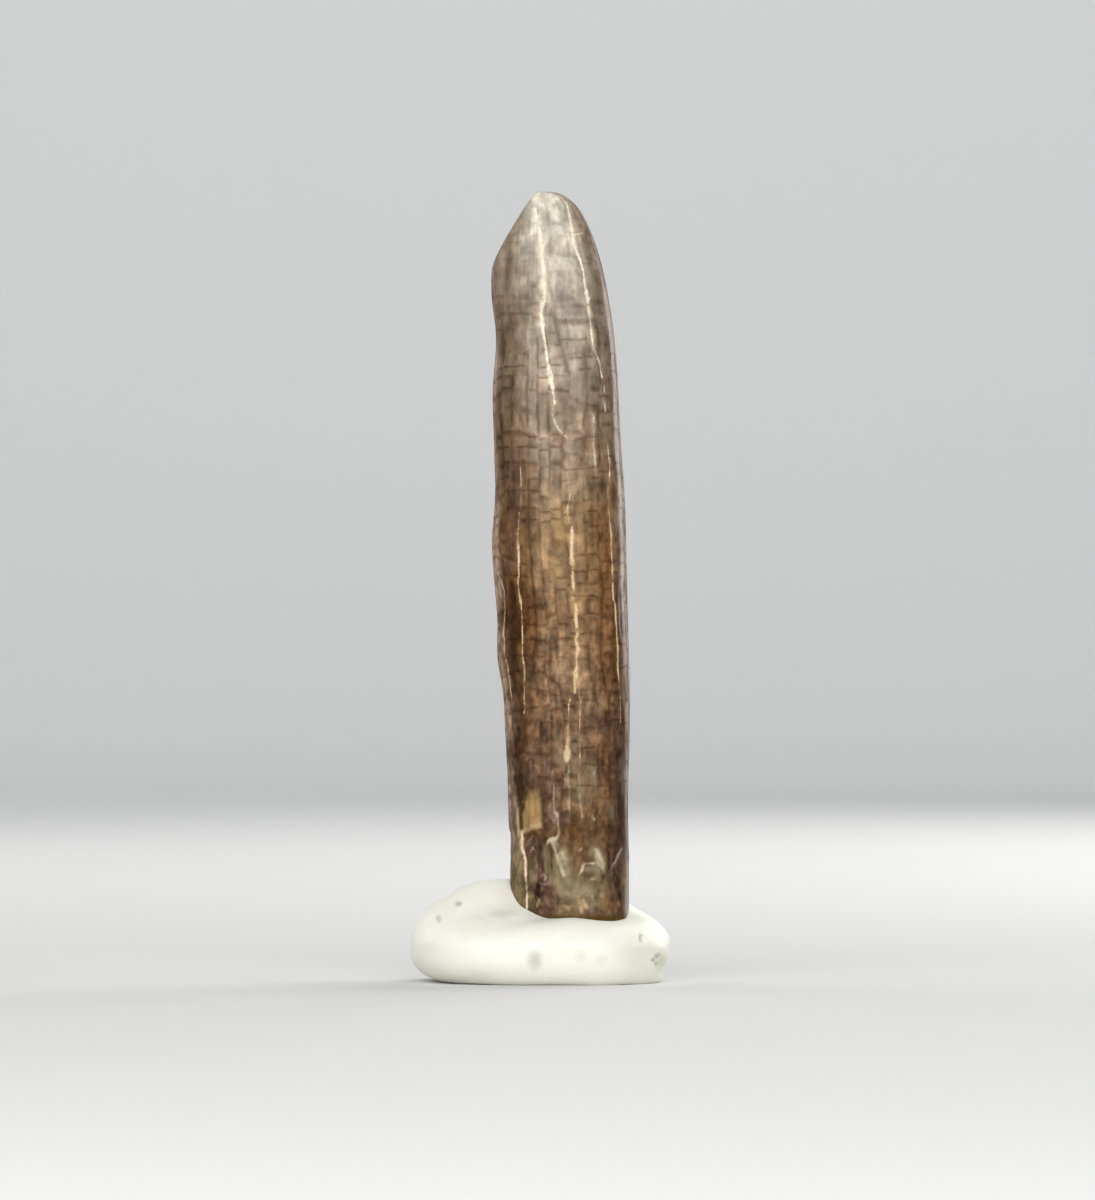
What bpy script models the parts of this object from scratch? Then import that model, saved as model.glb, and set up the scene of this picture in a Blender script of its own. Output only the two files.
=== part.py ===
"""A fossil sauropod tooth that stands in a lump of white mounting putty.

Run it with: blender --background --python part.py

The tooth is one long peg of dark enamel with a worn tip, cracks that run down its length and a
ragged lower margin where the enamel ends. Its broken foot is pressed into the putty, which has a
flat underside. Both bodies are lofts: rings of points at rising heights, joined by quads.

The frame is +Z up, +X to the right of the tooth's front face and -Y towards its viewer. The origin
is at the centre of the putty's underside. Tables are in millimetres and degrees, meshes in metres.
A turn is the angle round the tooth from its front face: 90 is the right side, -90 the left.
"""

import math

import bmesh
import bpy
from mathutils import Vector, noise

MM = 0.001

# Driving dimensions, in millimetres.
TIP_HEIGHT = 45.8  # top of the tooth above the underside of the putty
FOOT_HEIGHT = 2.2  # broken foot of the tooth above the underside
SOCKET_GAP = 0.3  # clearance all round the foot
PUTTY_WAIST = 2.0  # height at which the putty is widest

# The tooth before its tip wore down: height, left edge and right edge seen from the front, then
# front face and back face seen from the side.
TOOTH_OUTLINE = (
    (2.2, -1.75, 4.85, -3.10, 2.95),
    (3.6, -1.98, 5.10, -3.35, 3.15),
    (7.0, -2.04, 5.15, -3.42, 3.20),
    (10.5, -2.02, 5.07, -3.38, 3.18),
    (14.0, -2.10, 5.15, -3.36, 3.18),
    (16.6, -2.22, 5.16, -3.34, 3.15),
    (18.8, -2.56, 5.12, -3.32, 3.12),
    (20.8, -2.52, 5.06, -3.28, 3.08),
    (23.0, -2.72, 5.00, -3.22, 3.05),
    (25.4, -2.86, 4.95, -3.12, 3.00),
    (28.0, -2.68, 4.87, -3.00, 2.95),
    (31.5, -2.76, 4.62, -2.78, 2.86),
    (34.6, -2.84, 4.48, -2.52, 2.76),
    (37.6, -2.62, 4.24, -2.18, 2.66),
    (40.0, -2.92, 3.86, -1.78, 2.55),
    (41.8, -2.86, 3.46, -1.38, 2.42),
    (43.4, -2.60, 2.92, -0.90, 2.22),
    (44.8, -2.10, 2.24, -0.35, 1.90),
    (45.5, -1.60, 1.62, 0.02, 1.62),
    (45.8, -1.10, 1.02, 0.32, 1.36),
)

# Long cracks: height, turn and depth. Each keeps a column of the mesh to itself for the whole
# height, so that its groove is sharp, and its depth is nothing where the enamel is whole. They are
# in order of turn, from the back round the left side, the front and the right side to the back.
BACK_LEFT_CRACK = (
    (2.2, -152, 0.0), (12, -150, 0.12), (26, -158, 0.14), (36, -150, 0.0), (45.8, -150, 0.0),
)
LEFT_SIDE_CRACK = (
    (2.2, -108, 0.05), (9, -104, 0.14), (20, -110, 0.06), (30, -103, 0.14), (40, -106, 0.0), (45.8, -106, 0.0),
)
LEFT_EDGE_CRACK = (
    (2.2, -64, 0.0), (12, -61, 0.0), (15.2, -57.5, 0.08), (19.3, -57.2, 0.14),
    (23.3, -58.2, 0.14), (26.2, -69, 0.10), (28.0, -71, 0.0), (45.8, -70, 0.0),
)
LEFT_CRACK = (
    (2.2, -48, 0.10), (6.5, -47.5, 0.14), (10.6, -50.5, 0.10), (13.7, -47.5, 0.04),
    (16.4, -43.2, 0.10), (18.7, -38.4, 0.14), (22.2, -40.4, 0.14), (26.8, -35.4, 0.12),
    (29.0, -37, 0.0), (38, -42, 0.0), (45.8, -48, 0.0),
)
UPPER_CRACK = (
    (2.2, -14, 0.0), (30.5, -10, 0.0), (33.2, -6.4, 0.08), (36.5, -8.6, 0.12), (38.5, -11.8, 0.16),
    (40.1, -7, 0.16), (42.0, -5.5, 0.16), (43.0, -13, 0.12), (44.4, -20, 0.05), (45.8, -22, 0.0),
)
CENTRE_CRACK = (
    (2.2, 5, 0.0), (11.0, 4, 0.0), (13.7, 4.5, 0.08), (16.4, 6.5, 0.12), (18.0, 10.6, 0.16),
    (20.4, 12.2, 0.14), (22.7, 10.9, 0.16), (25.3, 12.1, 0.16), (28.0, 10, 0.08), (30.0, 10, 0.0),
    (45.8, 12, 0.0),
)
RIGHT_CRACK = (
    (2.2, 56, 0.0), (12.5, 56, 0.0), (15.2, 55.6, 0.08), (18.4, 56.4, 0.14), (21.3, 55, 0.12),
    (23.0, 50.7, 0.16), (25.6, 53.7, 0.14), (29.4, 56, 0.12), (32.6, 58, 0.10), (34.0, 50.5, 0.10),
    (36.1, 47.5, 0.14), (37.8, 41, 0.16), (41.3, 39.8, 0.16), (42.7, 35.5, 0.12), (43.9, 36, 0.14),
    (45.8, 44, 0.0),
)
RIGHT_SIDE_CRACK = (
    (2.2, 99, 0.0), (8, 98, 0.0), (13, 96, 0.12), (22, 100, 0.14), (33, 94, 0.10), (38, 92, 0.0),
    (45.8, 92, 0.0),
)
BACK_RIGHT_CRACK = (
    (2.2, 132, 0.08), (10, 136, 0.14), (18, 131, 0.10), (24, 134, 0.0), (30, 131, 0.0), (38, 126, 0.14),
    (43, 128, 0.0), (45.8, 128, 0.0),
)
BACK_CRACK = (
    (2.2, 172, 0.0), (14, 168, 0.0), (20, 171, 0.14), (31, 167, 0.14), (41, 172, 0.08), (45.8, 172, 0.0),
)
CRACKS = (
    BACK_LEFT_CRACK, LEFT_SIDE_CRACK, LEFT_EDGE_CRACK, LEFT_CRACK, UPPER_CRACK,
    CENTRE_CRACK, RIGHT_CRACK, RIGHT_SIDE_CRACK, BACK_RIGHT_CRACK, BACK_CRACK,
)
PLAIN_COLUMNS = (2, 3, 1, 2, 1, 3, 3, 2, 3, 3)  # columns of whole enamel after each crack
CRACK_HALF_TURN = 4.0  # from the bottom of a crack to either lip

# The ragged lower edge of the enamel: turn and height. Below it the bare root is set back.
ENAMEL_MARGIN = (
    (-180, 7.6), (-145, 8.8), (-115, 7.4), (-85, 8.8), (-60, 7.9), (-42, 8.6), (-24, 7.7), (-16, 7.9),
    (-10, 6.8), (-4, 5.9), (6, 5.6), (14, 6.2), (21, 6.8), (31, 6.6), (39, 6.2), (46, 7.0), (58, 7.8),
    (85, 6.9), (115, 8.3), (150, 6.9), (180, 7.6),
)
ENAMEL_THICKNESS = 0.16
MARGIN_SLOPE = 0.5  # height over which the skin steps in at the margin

# Flat places ground on the tip in life: a point of the plane and the way it faces.
TIP_FACETS = (
    ((-1.66, -0.40, 43.74), (-0.85, 0.18, 0.50)),
    ((1.90, 0.80, 44.95), (0.62, 0.34, 0.71)),
)

# Rings of the tooth: from this height, up to this height, in this many steps.
RING_SPANS = ((2.2, 10.0, 14), (10.0, 41.0, 34), (41.0, 44.8, 8), (44.8, 45.8, 4))

# The lump of putty in plan, and how far its underside is set in from its waist: turn and distance.
PUTTY_HALF_LENGTH = 7.55
PUTTY_HALF_DEPTH = 6.3
PUTTY_SQUARENESS = 0.84  # 1 is an ellipse, less is squarer
PUTTY_UNDERCUT = ((-180, 1.3), (-90, 2.5), (0, 1.2), (90, 0.7), (180, 1.3))
PUTTY_COLUMNS = 60
PUTTY_SLICE = ((7.28, 0.0, 2.25), (0.966, -0.12, -0.25))  # the end cut flat with a blade

# The putty's top where it meets the tooth: turn, height of the lump, and how far above that it is
# drawn up against the tooth.
PUTTY_TOP = (
    (-180, 5.2, 0.20), (-150, 5.6, 0.05), (-120, 5.95, 0.0), (-90, 5.90, 0.0), (-72, 5.20, 0.0),
    (-56, 4.50, 0.0), (-41, 4.15, 0.0), (-24, 3.80, 0.0), (6, 3.80, 0.0), (32, 3.62, 0.0),
    (60, 3.62, 0.0), (75, 3.75, 0.15), (92, 3.95, 0.90), (110, 4.10, 1.00), (135, 4.50, 0.60),
    (160, 4.90, 0.30), (180, 5.2, 0.20),
)
PUTTY_DRAW = 0.45  # distance over which the drawn-up edge falls away from the tooth

LUMP_SIZE, LUMP_HEIGHT = 3.6, 0.22  # kneading marks in the putty
ENAMEL_WAVE_SIZE, ENAMEL_WAVE_HEIGHT = 1.8, 0.05  # unevenness of the enamel
ROOT_WAVE_SIZE, ROOT_WAVE_HEIGHT = 0.9, 0.12  # the rougher root
FOOT_RAGGEDNESS = 0.35
FOOT_HOLLOW = 0.5  # depth of the broken pulp hollow in the foot
SMOOTH_ANGLE = 35.0


def row_at(table, where):
    """The rest of a table's row at a height or turn, on a smooth curve through its rows."""
    after = next((i for i, row in enumerate(table) if row[0] > where), len(table) - 1)
    after = max(after, 1)
    rows = [table[max(after - 2, 0)], table[after - 1], table[after], table[min(after + 1, len(table) - 1)]]
    span = rows[2][0] - rows[1][0]
    share = min(max((where - rows[1][0]) / span, 0.0), 1.0)
    found = []
    for value in range(1, len(rows[1])):
        start, end = rows[1][value], rows[2][value]
        slope_in = span * (end - rows[0][value]) / (rows[2][0] - rows[0][0])
        slope_out = span * (rows[3][value] - start) / (rows[3][0] - rows[1][0])
        found.append(
            start * (2 * share**3 - 3 * share**2 + 1)
            + slope_in * (share**3 - 2 * share**2 + share)
            + end * (3 * share**2 - 2 * share**3)
            + slope_out * (share**3 - share**2)
        )
    return found


def wrapped(turn):
    """The same turn between -180 and 180."""
    return (turn + 180) % 360 - 180


def skin(height, turn, outwards=0.0):
    """A point of the tooth's skin with no cracks or wear, moved outwards, in millimetres."""
    left, right, front, back = row_at(TOOTH_OUTLINE, height)
    angle = math.radians(turn)
    across = (left + right) / 2 + ((right - left) / 2 + outwards) * math.sin(angle)
    deep = (front + back) / 2 - ((back - front) / 2 + outwards) * math.cos(angle)
    return Vector((across, deep, height))


def columns(height):
    """The turn and depth of every column of the tooth's mesh at a height, once round."""
    cracks = [row_at(crack, height) for crack in CRACKS]
    next_turns = [turn for turn, _ in cracks[1:]] + [cracks[0][0] + 360]
    found = []
    for (turn, depth), next_turn, plain in zip(cracks, next_turns, PLAIN_COLUMNS):
        found += [(turn - CRACK_HALF_TURN, 0.0), (turn, max(depth, 0.0)), (turn + CRACK_HALF_TURN, 0.0)]
        start = turn + CRACK_HALF_TURN
        step = (next_turn - CRACK_HALF_TURN - start) / (plain + 1)
        found += [(start + step * (i + 1), 0.0) for i in range(plain)]
    return found


def bareness(height, turn):
    """0 on the enamel, 1 on the bare root below it."""
    (margin,) = row_at(ENAMEL_MARGIN, wrapped(turn))
    return min(max((margin - height) / MARGIN_SLOPE, 0.0), 1.0)


def tooth_ring(height):
    """The points of one ring of the tooth."""
    ring = []
    for turn, depth in columns(height):
        bare = bareness(height, turn)
        on_skin = skin(height, turn)
        wave = ENAMEL_WAVE_HEIGHT * noise.noise(on_skin / ENAMEL_WAVE_SIZE) * (1 - bare)
        wave += ROOT_WAVE_HEIGHT * noise.noise(on_skin / ROOT_WAVE_SIZE) * bare
        point = skin(height, turn, wave - depth - ENAMEL_THICKNESS * bare)
        if height == FOOT_HEIGHT:
            point.z += FOOT_RAGGEDNESS * abs(noise.noise(on_skin))
        ring.append(point * MM)
    return ring


def ring_heights(spans):
    """Every height once, from the first span's start to the last span's end."""
    found = [spans[0][0]]
    for start, end, steps in spans:
        found += [start + (end - start) * (i + 1) / steps for i in range(steps)]
    return found


def lofted(rings, first_centre, last_centre):
    """A closed mesh through rings of points, each ring closed on itself, with a fan over each end."""
    body = bmesh.new()
    loops = [[body.verts.new(point) for point in ring] for ring in rings]
    count = len(loops[0])
    for near, far in zip(loops, loops[1:]):
        for i in range(count):
            body.faces.new((near[i], near[(i + 1) % count], far[(i + 1) % count], far[i]))
    first, last = body.verts.new(first_centre), body.verts.new(last_centre)
    for i in range(count):
        body.faces.new((first, loops[0][(i + 1) % count], loops[0][i]))
        body.faces.new((last, loops[-1][i], loops[-1][(i + 1) % count]))
    return body


def cut_flat(body, point, facing):
    """Takes away what stands beyond a plane and closes the cut with one flat face."""
    cut = bmesh.ops.bisect_plane(
        body,
        geom=body.verts[:] + body.edges[:] + body.faces[:],
        dist=1e-6 * MM,
        plane_co=Vector(point) * MM,
        plane_no=Vector(facing),
        clear_outer=True,
    )
    rim = [item for item in cut["geom_cut"] if isinstance(item, bmesh.types.BMEdge)]
    bmesh.ops.holes_fill(body, edges=rim)


def finished(name, body, origin, material):
    """The object for a body, with its origin at a point given in millimetres."""
    at = Vector(origin) * MM
    bmesh.ops.translate(body, verts=body.verts, vec=-at)
    mesh = bpy.data.meshes.new(name)
    body.to_mesh(mesh)
    body.free()
    mesh.materials.append(material)
    mesh.shade_smooth()
    mesh.set_sharp_from_angle(angle=math.radians(SMOOTH_ANGLE))
    thing = bpy.data.objects.new(name, mesh)
    thing.location = at
    bpy.context.collection.objects.link(thing)
    return thing


def surface(name, colour, roughness):
    """A Principled material of one colour."""
    material = bpy.data.materials.new(name)
    material.use_nodes = True
    shader = material.node_tree.nodes["Principled BSDF"]
    shader.inputs["Base Color"].default_value = (*colour, 1.0)
    shader.inputs["Roughness"].default_value = roughness
    shader.inputs["Metallic"].default_value = 0.0
    return material


def make_tooth():
    """The tooth: its rings from the broken foot to the tip, then the facets worn on the tip."""
    rings = [tooth_ring(height) for height in ring_heights(RING_SPANS)]
    foot = skin(FOOT_HEIGHT + FOOT_HOLLOW, 0.0)
    foot_left, foot_right, foot_front, foot_back = row_at(TOOTH_OUTLINE, FOOT_HEIGHT)
    foot.x, foot.y = (foot_left + foot_right) / 2, (foot_front + foot_back) / 2
    tip_left, tip_right, tip_front, tip_back = row_at(TOOTH_OUTLINE, TIP_HEIGHT)
    tip = Vector(((tip_left + tip_right) / 2, (tip_front + tip_back) / 2, TIP_HEIGHT))
    body = lofted(rings, foot * MM, tip * MM)
    for point, facing in TIP_FACETS:
        cut_flat(body, point, facing)
    origin = Vector((foot.x, foot.y, FOOT_HEIGHT))
    return finished("tooth", body, origin, surface("enamel", (0.26, 0.17, 0.11), 0.3))


def waist_point(turn):
    """A point of the putty's widest outline."""
    across, deep = math.sin(math.radians(turn)), -math.cos(math.radians(turn))
    return Vector((
        PUTTY_HALF_LENGTH * math.copysign(abs(across) ** PUTTY_SQUARENESS, across),
        PUTTY_HALF_DEPTH * math.copysign(abs(deep) ** PUTTY_SQUARENESS, deep),
        PUTTY_WAIST,
    ))


def lumpy(point):
    """A point of the putty's outside, moved by the marks of kneading."""
    outwards = Vector((point.x, point.y, 2 * (point.z - PUTTY_WAIST))).normalized()
    return point + outwards * LUMP_HEIGHT * noise.noise(point / LUMP_SIZE)


def putty_column(turn):
    """One column of the putty, from near the middle of its underside over its top to the socket's floor."""
    waist = waist_point(turn)
    (undercut,) = row_at(PUTTY_UNDERCUT, turn)
    inwards = -Vector((waist.x, waist.y, 0)).normalized()
    sole = Vector((waist.x, waist.y, 0)) + inwards * undercut
    top, drawn = row_at(PUTTY_TOP, turn)
    rim = skin(top, turn, SOCKET_GAP)
    column = [sole * 0.5, sole]
    for lift in (18, 36, 54, 72, 90):  # degrees round the lower bulge, from the sole to the waist
        set_in = undercut * (1 - math.sin(math.radians(lift)))
        height = PUTTY_WAIST * (1 - math.cos(math.radians(lift)))
        column.append(lumpy(Vector((waist.x, waist.y, height)) + inwards * set_in))
    for lift in (10, 22, 34, 46, 58, 70, 80, 90):  # degrees over the top, from the waist to the rim
        outwards = math.cos(math.radians(lift))
        on_top = rim.lerp(waist, outwards)
        on_top.z = PUTTY_WAIST + (top - PUTTY_WAIST) * math.sin(math.radians(lift))
        if lift < 90:
            on_top = lumpy(on_top)
        on_top.z += drawn * math.exp(-(waist - rim).length * outwards / PUTTY_DRAW)
        column.append(on_top)
    floor = FOOT_HEIGHT - SOCKET_GAP
    rim_height = column[-1].z
    for share in (0.33, 0.66, 1.0):
        column.append(skin(rim_height + (floor - rim_height) * share, turn, SOCKET_GAP))
    return column


def make_putty():
    """The lump of putty: an open socket on top for the tooth's foot, and one end sliced off."""
    turns = [-180 + 360 * i / PUTTY_COLUMNS for i in range(PUTTY_COLUMNS)]
    lump_columns = [[point * MM for point in putty_column(turn)] for turn in turns]
    rings = [list(ring) for ring in zip(*lump_columns)]
    floor_left, floor_right, floor_front, floor_back = row_at(TOOTH_OUTLINE, FOOT_HEIGHT)
    floor = Vector(((floor_left + floor_right) / 2, (floor_front + floor_back) / 2, FOOT_HEIGHT - SOCKET_GAP))
    body = lofted(rings, Vector(), floor * MM)
    cut_flat(body, *PUTTY_SLICE)
    return finished("putty_base", body, (0, 0, 0), surface("putty", (0.87, 0.87, 0.80), 0.55))


def centre_on_origin(things):
    """Hangs the objects from one empty, set so that their joint box is centred over the origin."""
    corners = [thing.location + vertex.co for thing in things for vertex in thing.data.vertices]
    low = Vector([min(corner[axis] for corner in corners) for axis in range(3)])
    high = Vector([max(corner[axis] for corner in corners) for axis in range(3)])
    specimen = bpy.data.objects.new("specimen", None)
    specimen.location = (-(low.x + high.x) / 2, -(low.y + high.y) / 2, -low.z)
    bpy.context.collection.objects.link(specimen)
    for thing in things:
        thing.parent = specimen


for leftover in list(bpy.data.objects):
    bpy.data.objects.remove(leftover)
centre_on_origin([make_tooth(), make_putty()])
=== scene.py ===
import math
import random

import bpy
import numpy as np
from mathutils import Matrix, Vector, noise


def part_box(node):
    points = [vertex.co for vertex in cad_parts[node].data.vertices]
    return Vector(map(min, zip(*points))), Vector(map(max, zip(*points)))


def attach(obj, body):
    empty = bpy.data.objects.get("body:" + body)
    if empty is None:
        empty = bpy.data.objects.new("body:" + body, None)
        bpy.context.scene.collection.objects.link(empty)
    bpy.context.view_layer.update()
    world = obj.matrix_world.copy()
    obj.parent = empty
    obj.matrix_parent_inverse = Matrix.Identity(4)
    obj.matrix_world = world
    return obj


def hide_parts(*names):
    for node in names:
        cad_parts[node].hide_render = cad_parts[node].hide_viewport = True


# A fossil tooth that stands in a lump of putty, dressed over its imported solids. Sizes are in
# millimetres, and are turned into metres where a mesh is made.

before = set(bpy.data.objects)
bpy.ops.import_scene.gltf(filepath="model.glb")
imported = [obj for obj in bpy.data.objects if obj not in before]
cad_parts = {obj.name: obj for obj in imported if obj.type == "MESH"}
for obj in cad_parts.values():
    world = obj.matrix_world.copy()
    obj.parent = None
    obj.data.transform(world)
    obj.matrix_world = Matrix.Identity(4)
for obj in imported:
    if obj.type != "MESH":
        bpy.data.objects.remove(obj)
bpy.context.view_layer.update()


# --- Fossil tooth -------------------------------------------------------------------------------
# One long peg of fossil enamel over dentine, grown in one piece and turned to stone. Its cracks hold
# cream calcite or dark dirt, its tip was ground flat in use, and its foot has lost the enamel. It is
# drawn up ring by ring from the foot, then carved and coloured by strokes on its unrolled skin.

MM = 0.001
FOOT, TIP = 2.2, 45.8

# Height, left and right edges seen from the front, front and back faces seen from the side.
TOOTH_OUTLINE = (
    (FOOT, -1.85, 5.05, -3.20, 3.05),
    (3.6, -1.92, 5.16, -3.42, 3.24),
    (7.0, -1.85, 5.17, -3.42, 3.20),
    (10.5, -1.89, 5.10, -3.38, 3.18),
    (14.0, -2.05, 5.20, -3.36, 3.18),
    (16.6, -2.17, 5.21, -3.34, 3.15),
    (18.8, -2.55, 5.17, -3.32, 3.12),
    (20.8, -2.51, 5.11, -3.28, 3.08),
    (23.0, -2.71, 5.05, -3.22, 3.05),
    (25.4, -2.85, 5.00, -3.12, 3.00),
    (28.0, -2.65, 4.92, -3.00, 2.95),
    (31.5, -2.75, 4.67, -2.78, 2.86),
    (34.6, -2.79, 4.53, -2.52, 2.76),
    (37.6, -2.59, 4.29, -2.18, 2.66),
    (40.0, -2.89, 3.91, -1.78, 2.55),
    (41.8, -2.83, 3.51, -1.38, 2.42),
    (43.4, -2.57, 2.97, -0.90, 2.22),
    (44.8, -2.05, 2.29, -0.35, 1.90),
    (45.5, -1.55, 1.67, 0.02, 1.62),
    (TIP, -1.05, 1.07, 0.32, 1.36),
)
RING_STEPS = ((FOOT, 41.0, 37), (41.0, 44.6, 4), (44.6, TIP, 3))  # from, to, number of rings
RING_VERTICES = 32
SKIN_SUBDIVISIONS = 3


def on_curve(table, where):
    """The rest of a table's row at each place, on a smooth curve through its rows."""
    rows = np.array(table, float)
    where = np.clip(where, rows[0, 0], rows[-1, 0])
    after = np.clip(np.searchsorted(rows[:, 0], where, side="right"), 1, len(rows) - 1)
    before = after - 1
    slopes = np.gradient(rows[:, 1:], rows[:, 0], axis=0)
    span = (rows[after, 0] - rows[before, 0])[:, None]
    share = (where[:, None] - rows[before, :1]) / span
    return (
        rows[before, 1:] * (2 * share**3 - 3 * share**2 + 1)
        + slopes[before] * span * (share**3 - 2 * share**2 + share)
        + rows[after, 1:] * (3 * share**2 - 2 * share**3)
        + slopes[after] * span * (share**3 - share**2)
    )


def section(heights):
    """Middle (x, y) and half widths (x, y) of the tooth at each height, in millimetres."""
    left, right, front, back = on_curve(TOOTH_OUTLINE, np.atleast_1d(heights)).T
    return (left + right) / 2, (front + back) / 2, (right - left) / 2, (back - front) / 2


def select_only(thing):
    """Leaves one object selected and active."""
    bpy.ops.object.select_all(action="DESELECT")
    thing.select_set(True)
    bpy.context.view_layer.objects.active = thing


def open_for_edits(thing):
    """Opens an object in edit mode with everything on it selected."""
    select_only(thing)
    bpy.ops.object.mode_set(mode="EDIT")
    bpy.ops.mesh.select_all(action="SELECT")


def points_of(thing):
    """The vertices of a mesh object as an array, in millimetres."""
    found = np.empty(len(thing.data.vertices) * 3)
    thing.data.vertices.foreach_get("co", found)
    return found.reshape(-1, 3) / MM


def move_points(thing, points):
    """Puts the vertices of a mesh object at new points, in millimetres."""
    thing.data.vertices.foreach_set("co", (points * MM).ravel())
    thing.data.update()


ring_heights = [FOOT]
for start, end, rings in RING_STEPS:
    ring_heights += [start + (end - start) * (ring + 1) / rings for ring in range(rings)]
middle_x, middle_y, half_x, half_y = section(np.array(ring_heights))

bpy.ops.object.select_all(action="DESELECT")
bpy.ops.mesh.primitive_circle_add(vertices=RING_VERTICES, radius=MM, fill_type="NGON")
tooth = bpy.context.object
tooth.name = "fossil_tooth"
open_for_edits(tooth)
bpy.ops.transform.resize(value=(half_x[0], half_y[0], 1), center_override=(0, 0, 0))
bpy.ops.transform.translate(value=(middle_x[0] * MM, middle_y[0] * MM, FOOT * MM))
for ring in range(1, len(ring_heights)):
    rise = Vector((
        middle_x[ring] - middle_x[ring - 1],
        middle_y[ring] - middle_y[ring - 1],
        ring_heights[ring] - ring_heights[ring - 1],
    ))
    centre = Vector((middle_x[ring], middle_y[ring], ring_heights[ring])) * MM
    growth = (half_x[ring] / half_x[ring - 1], half_y[ring] / half_y[ring - 1], 1)
    bpy.ops.mesh.extrude_region_move(TRANSFORM_OT_translate={"value": rise * MM})
    bpy.ops.transform.resize(value=growth, center_override=centre)
bpy.ops.mesh.select_all(action="SELECT")
bpy.ops.mesh.normals_make_consistent(inside=False)
bpy.ops.object.mode_set(mode="OBJECT")
bpy.ops.object.modifier_add(type="SUBSURF")
smoothing = tooth.modifiers[-1]
smoothing.levels = smoothing.render_levels = SKIN_SUBDIVISIONS
bpy.ops.object.modifier_apply(modifier=smoothing.name)

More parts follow.
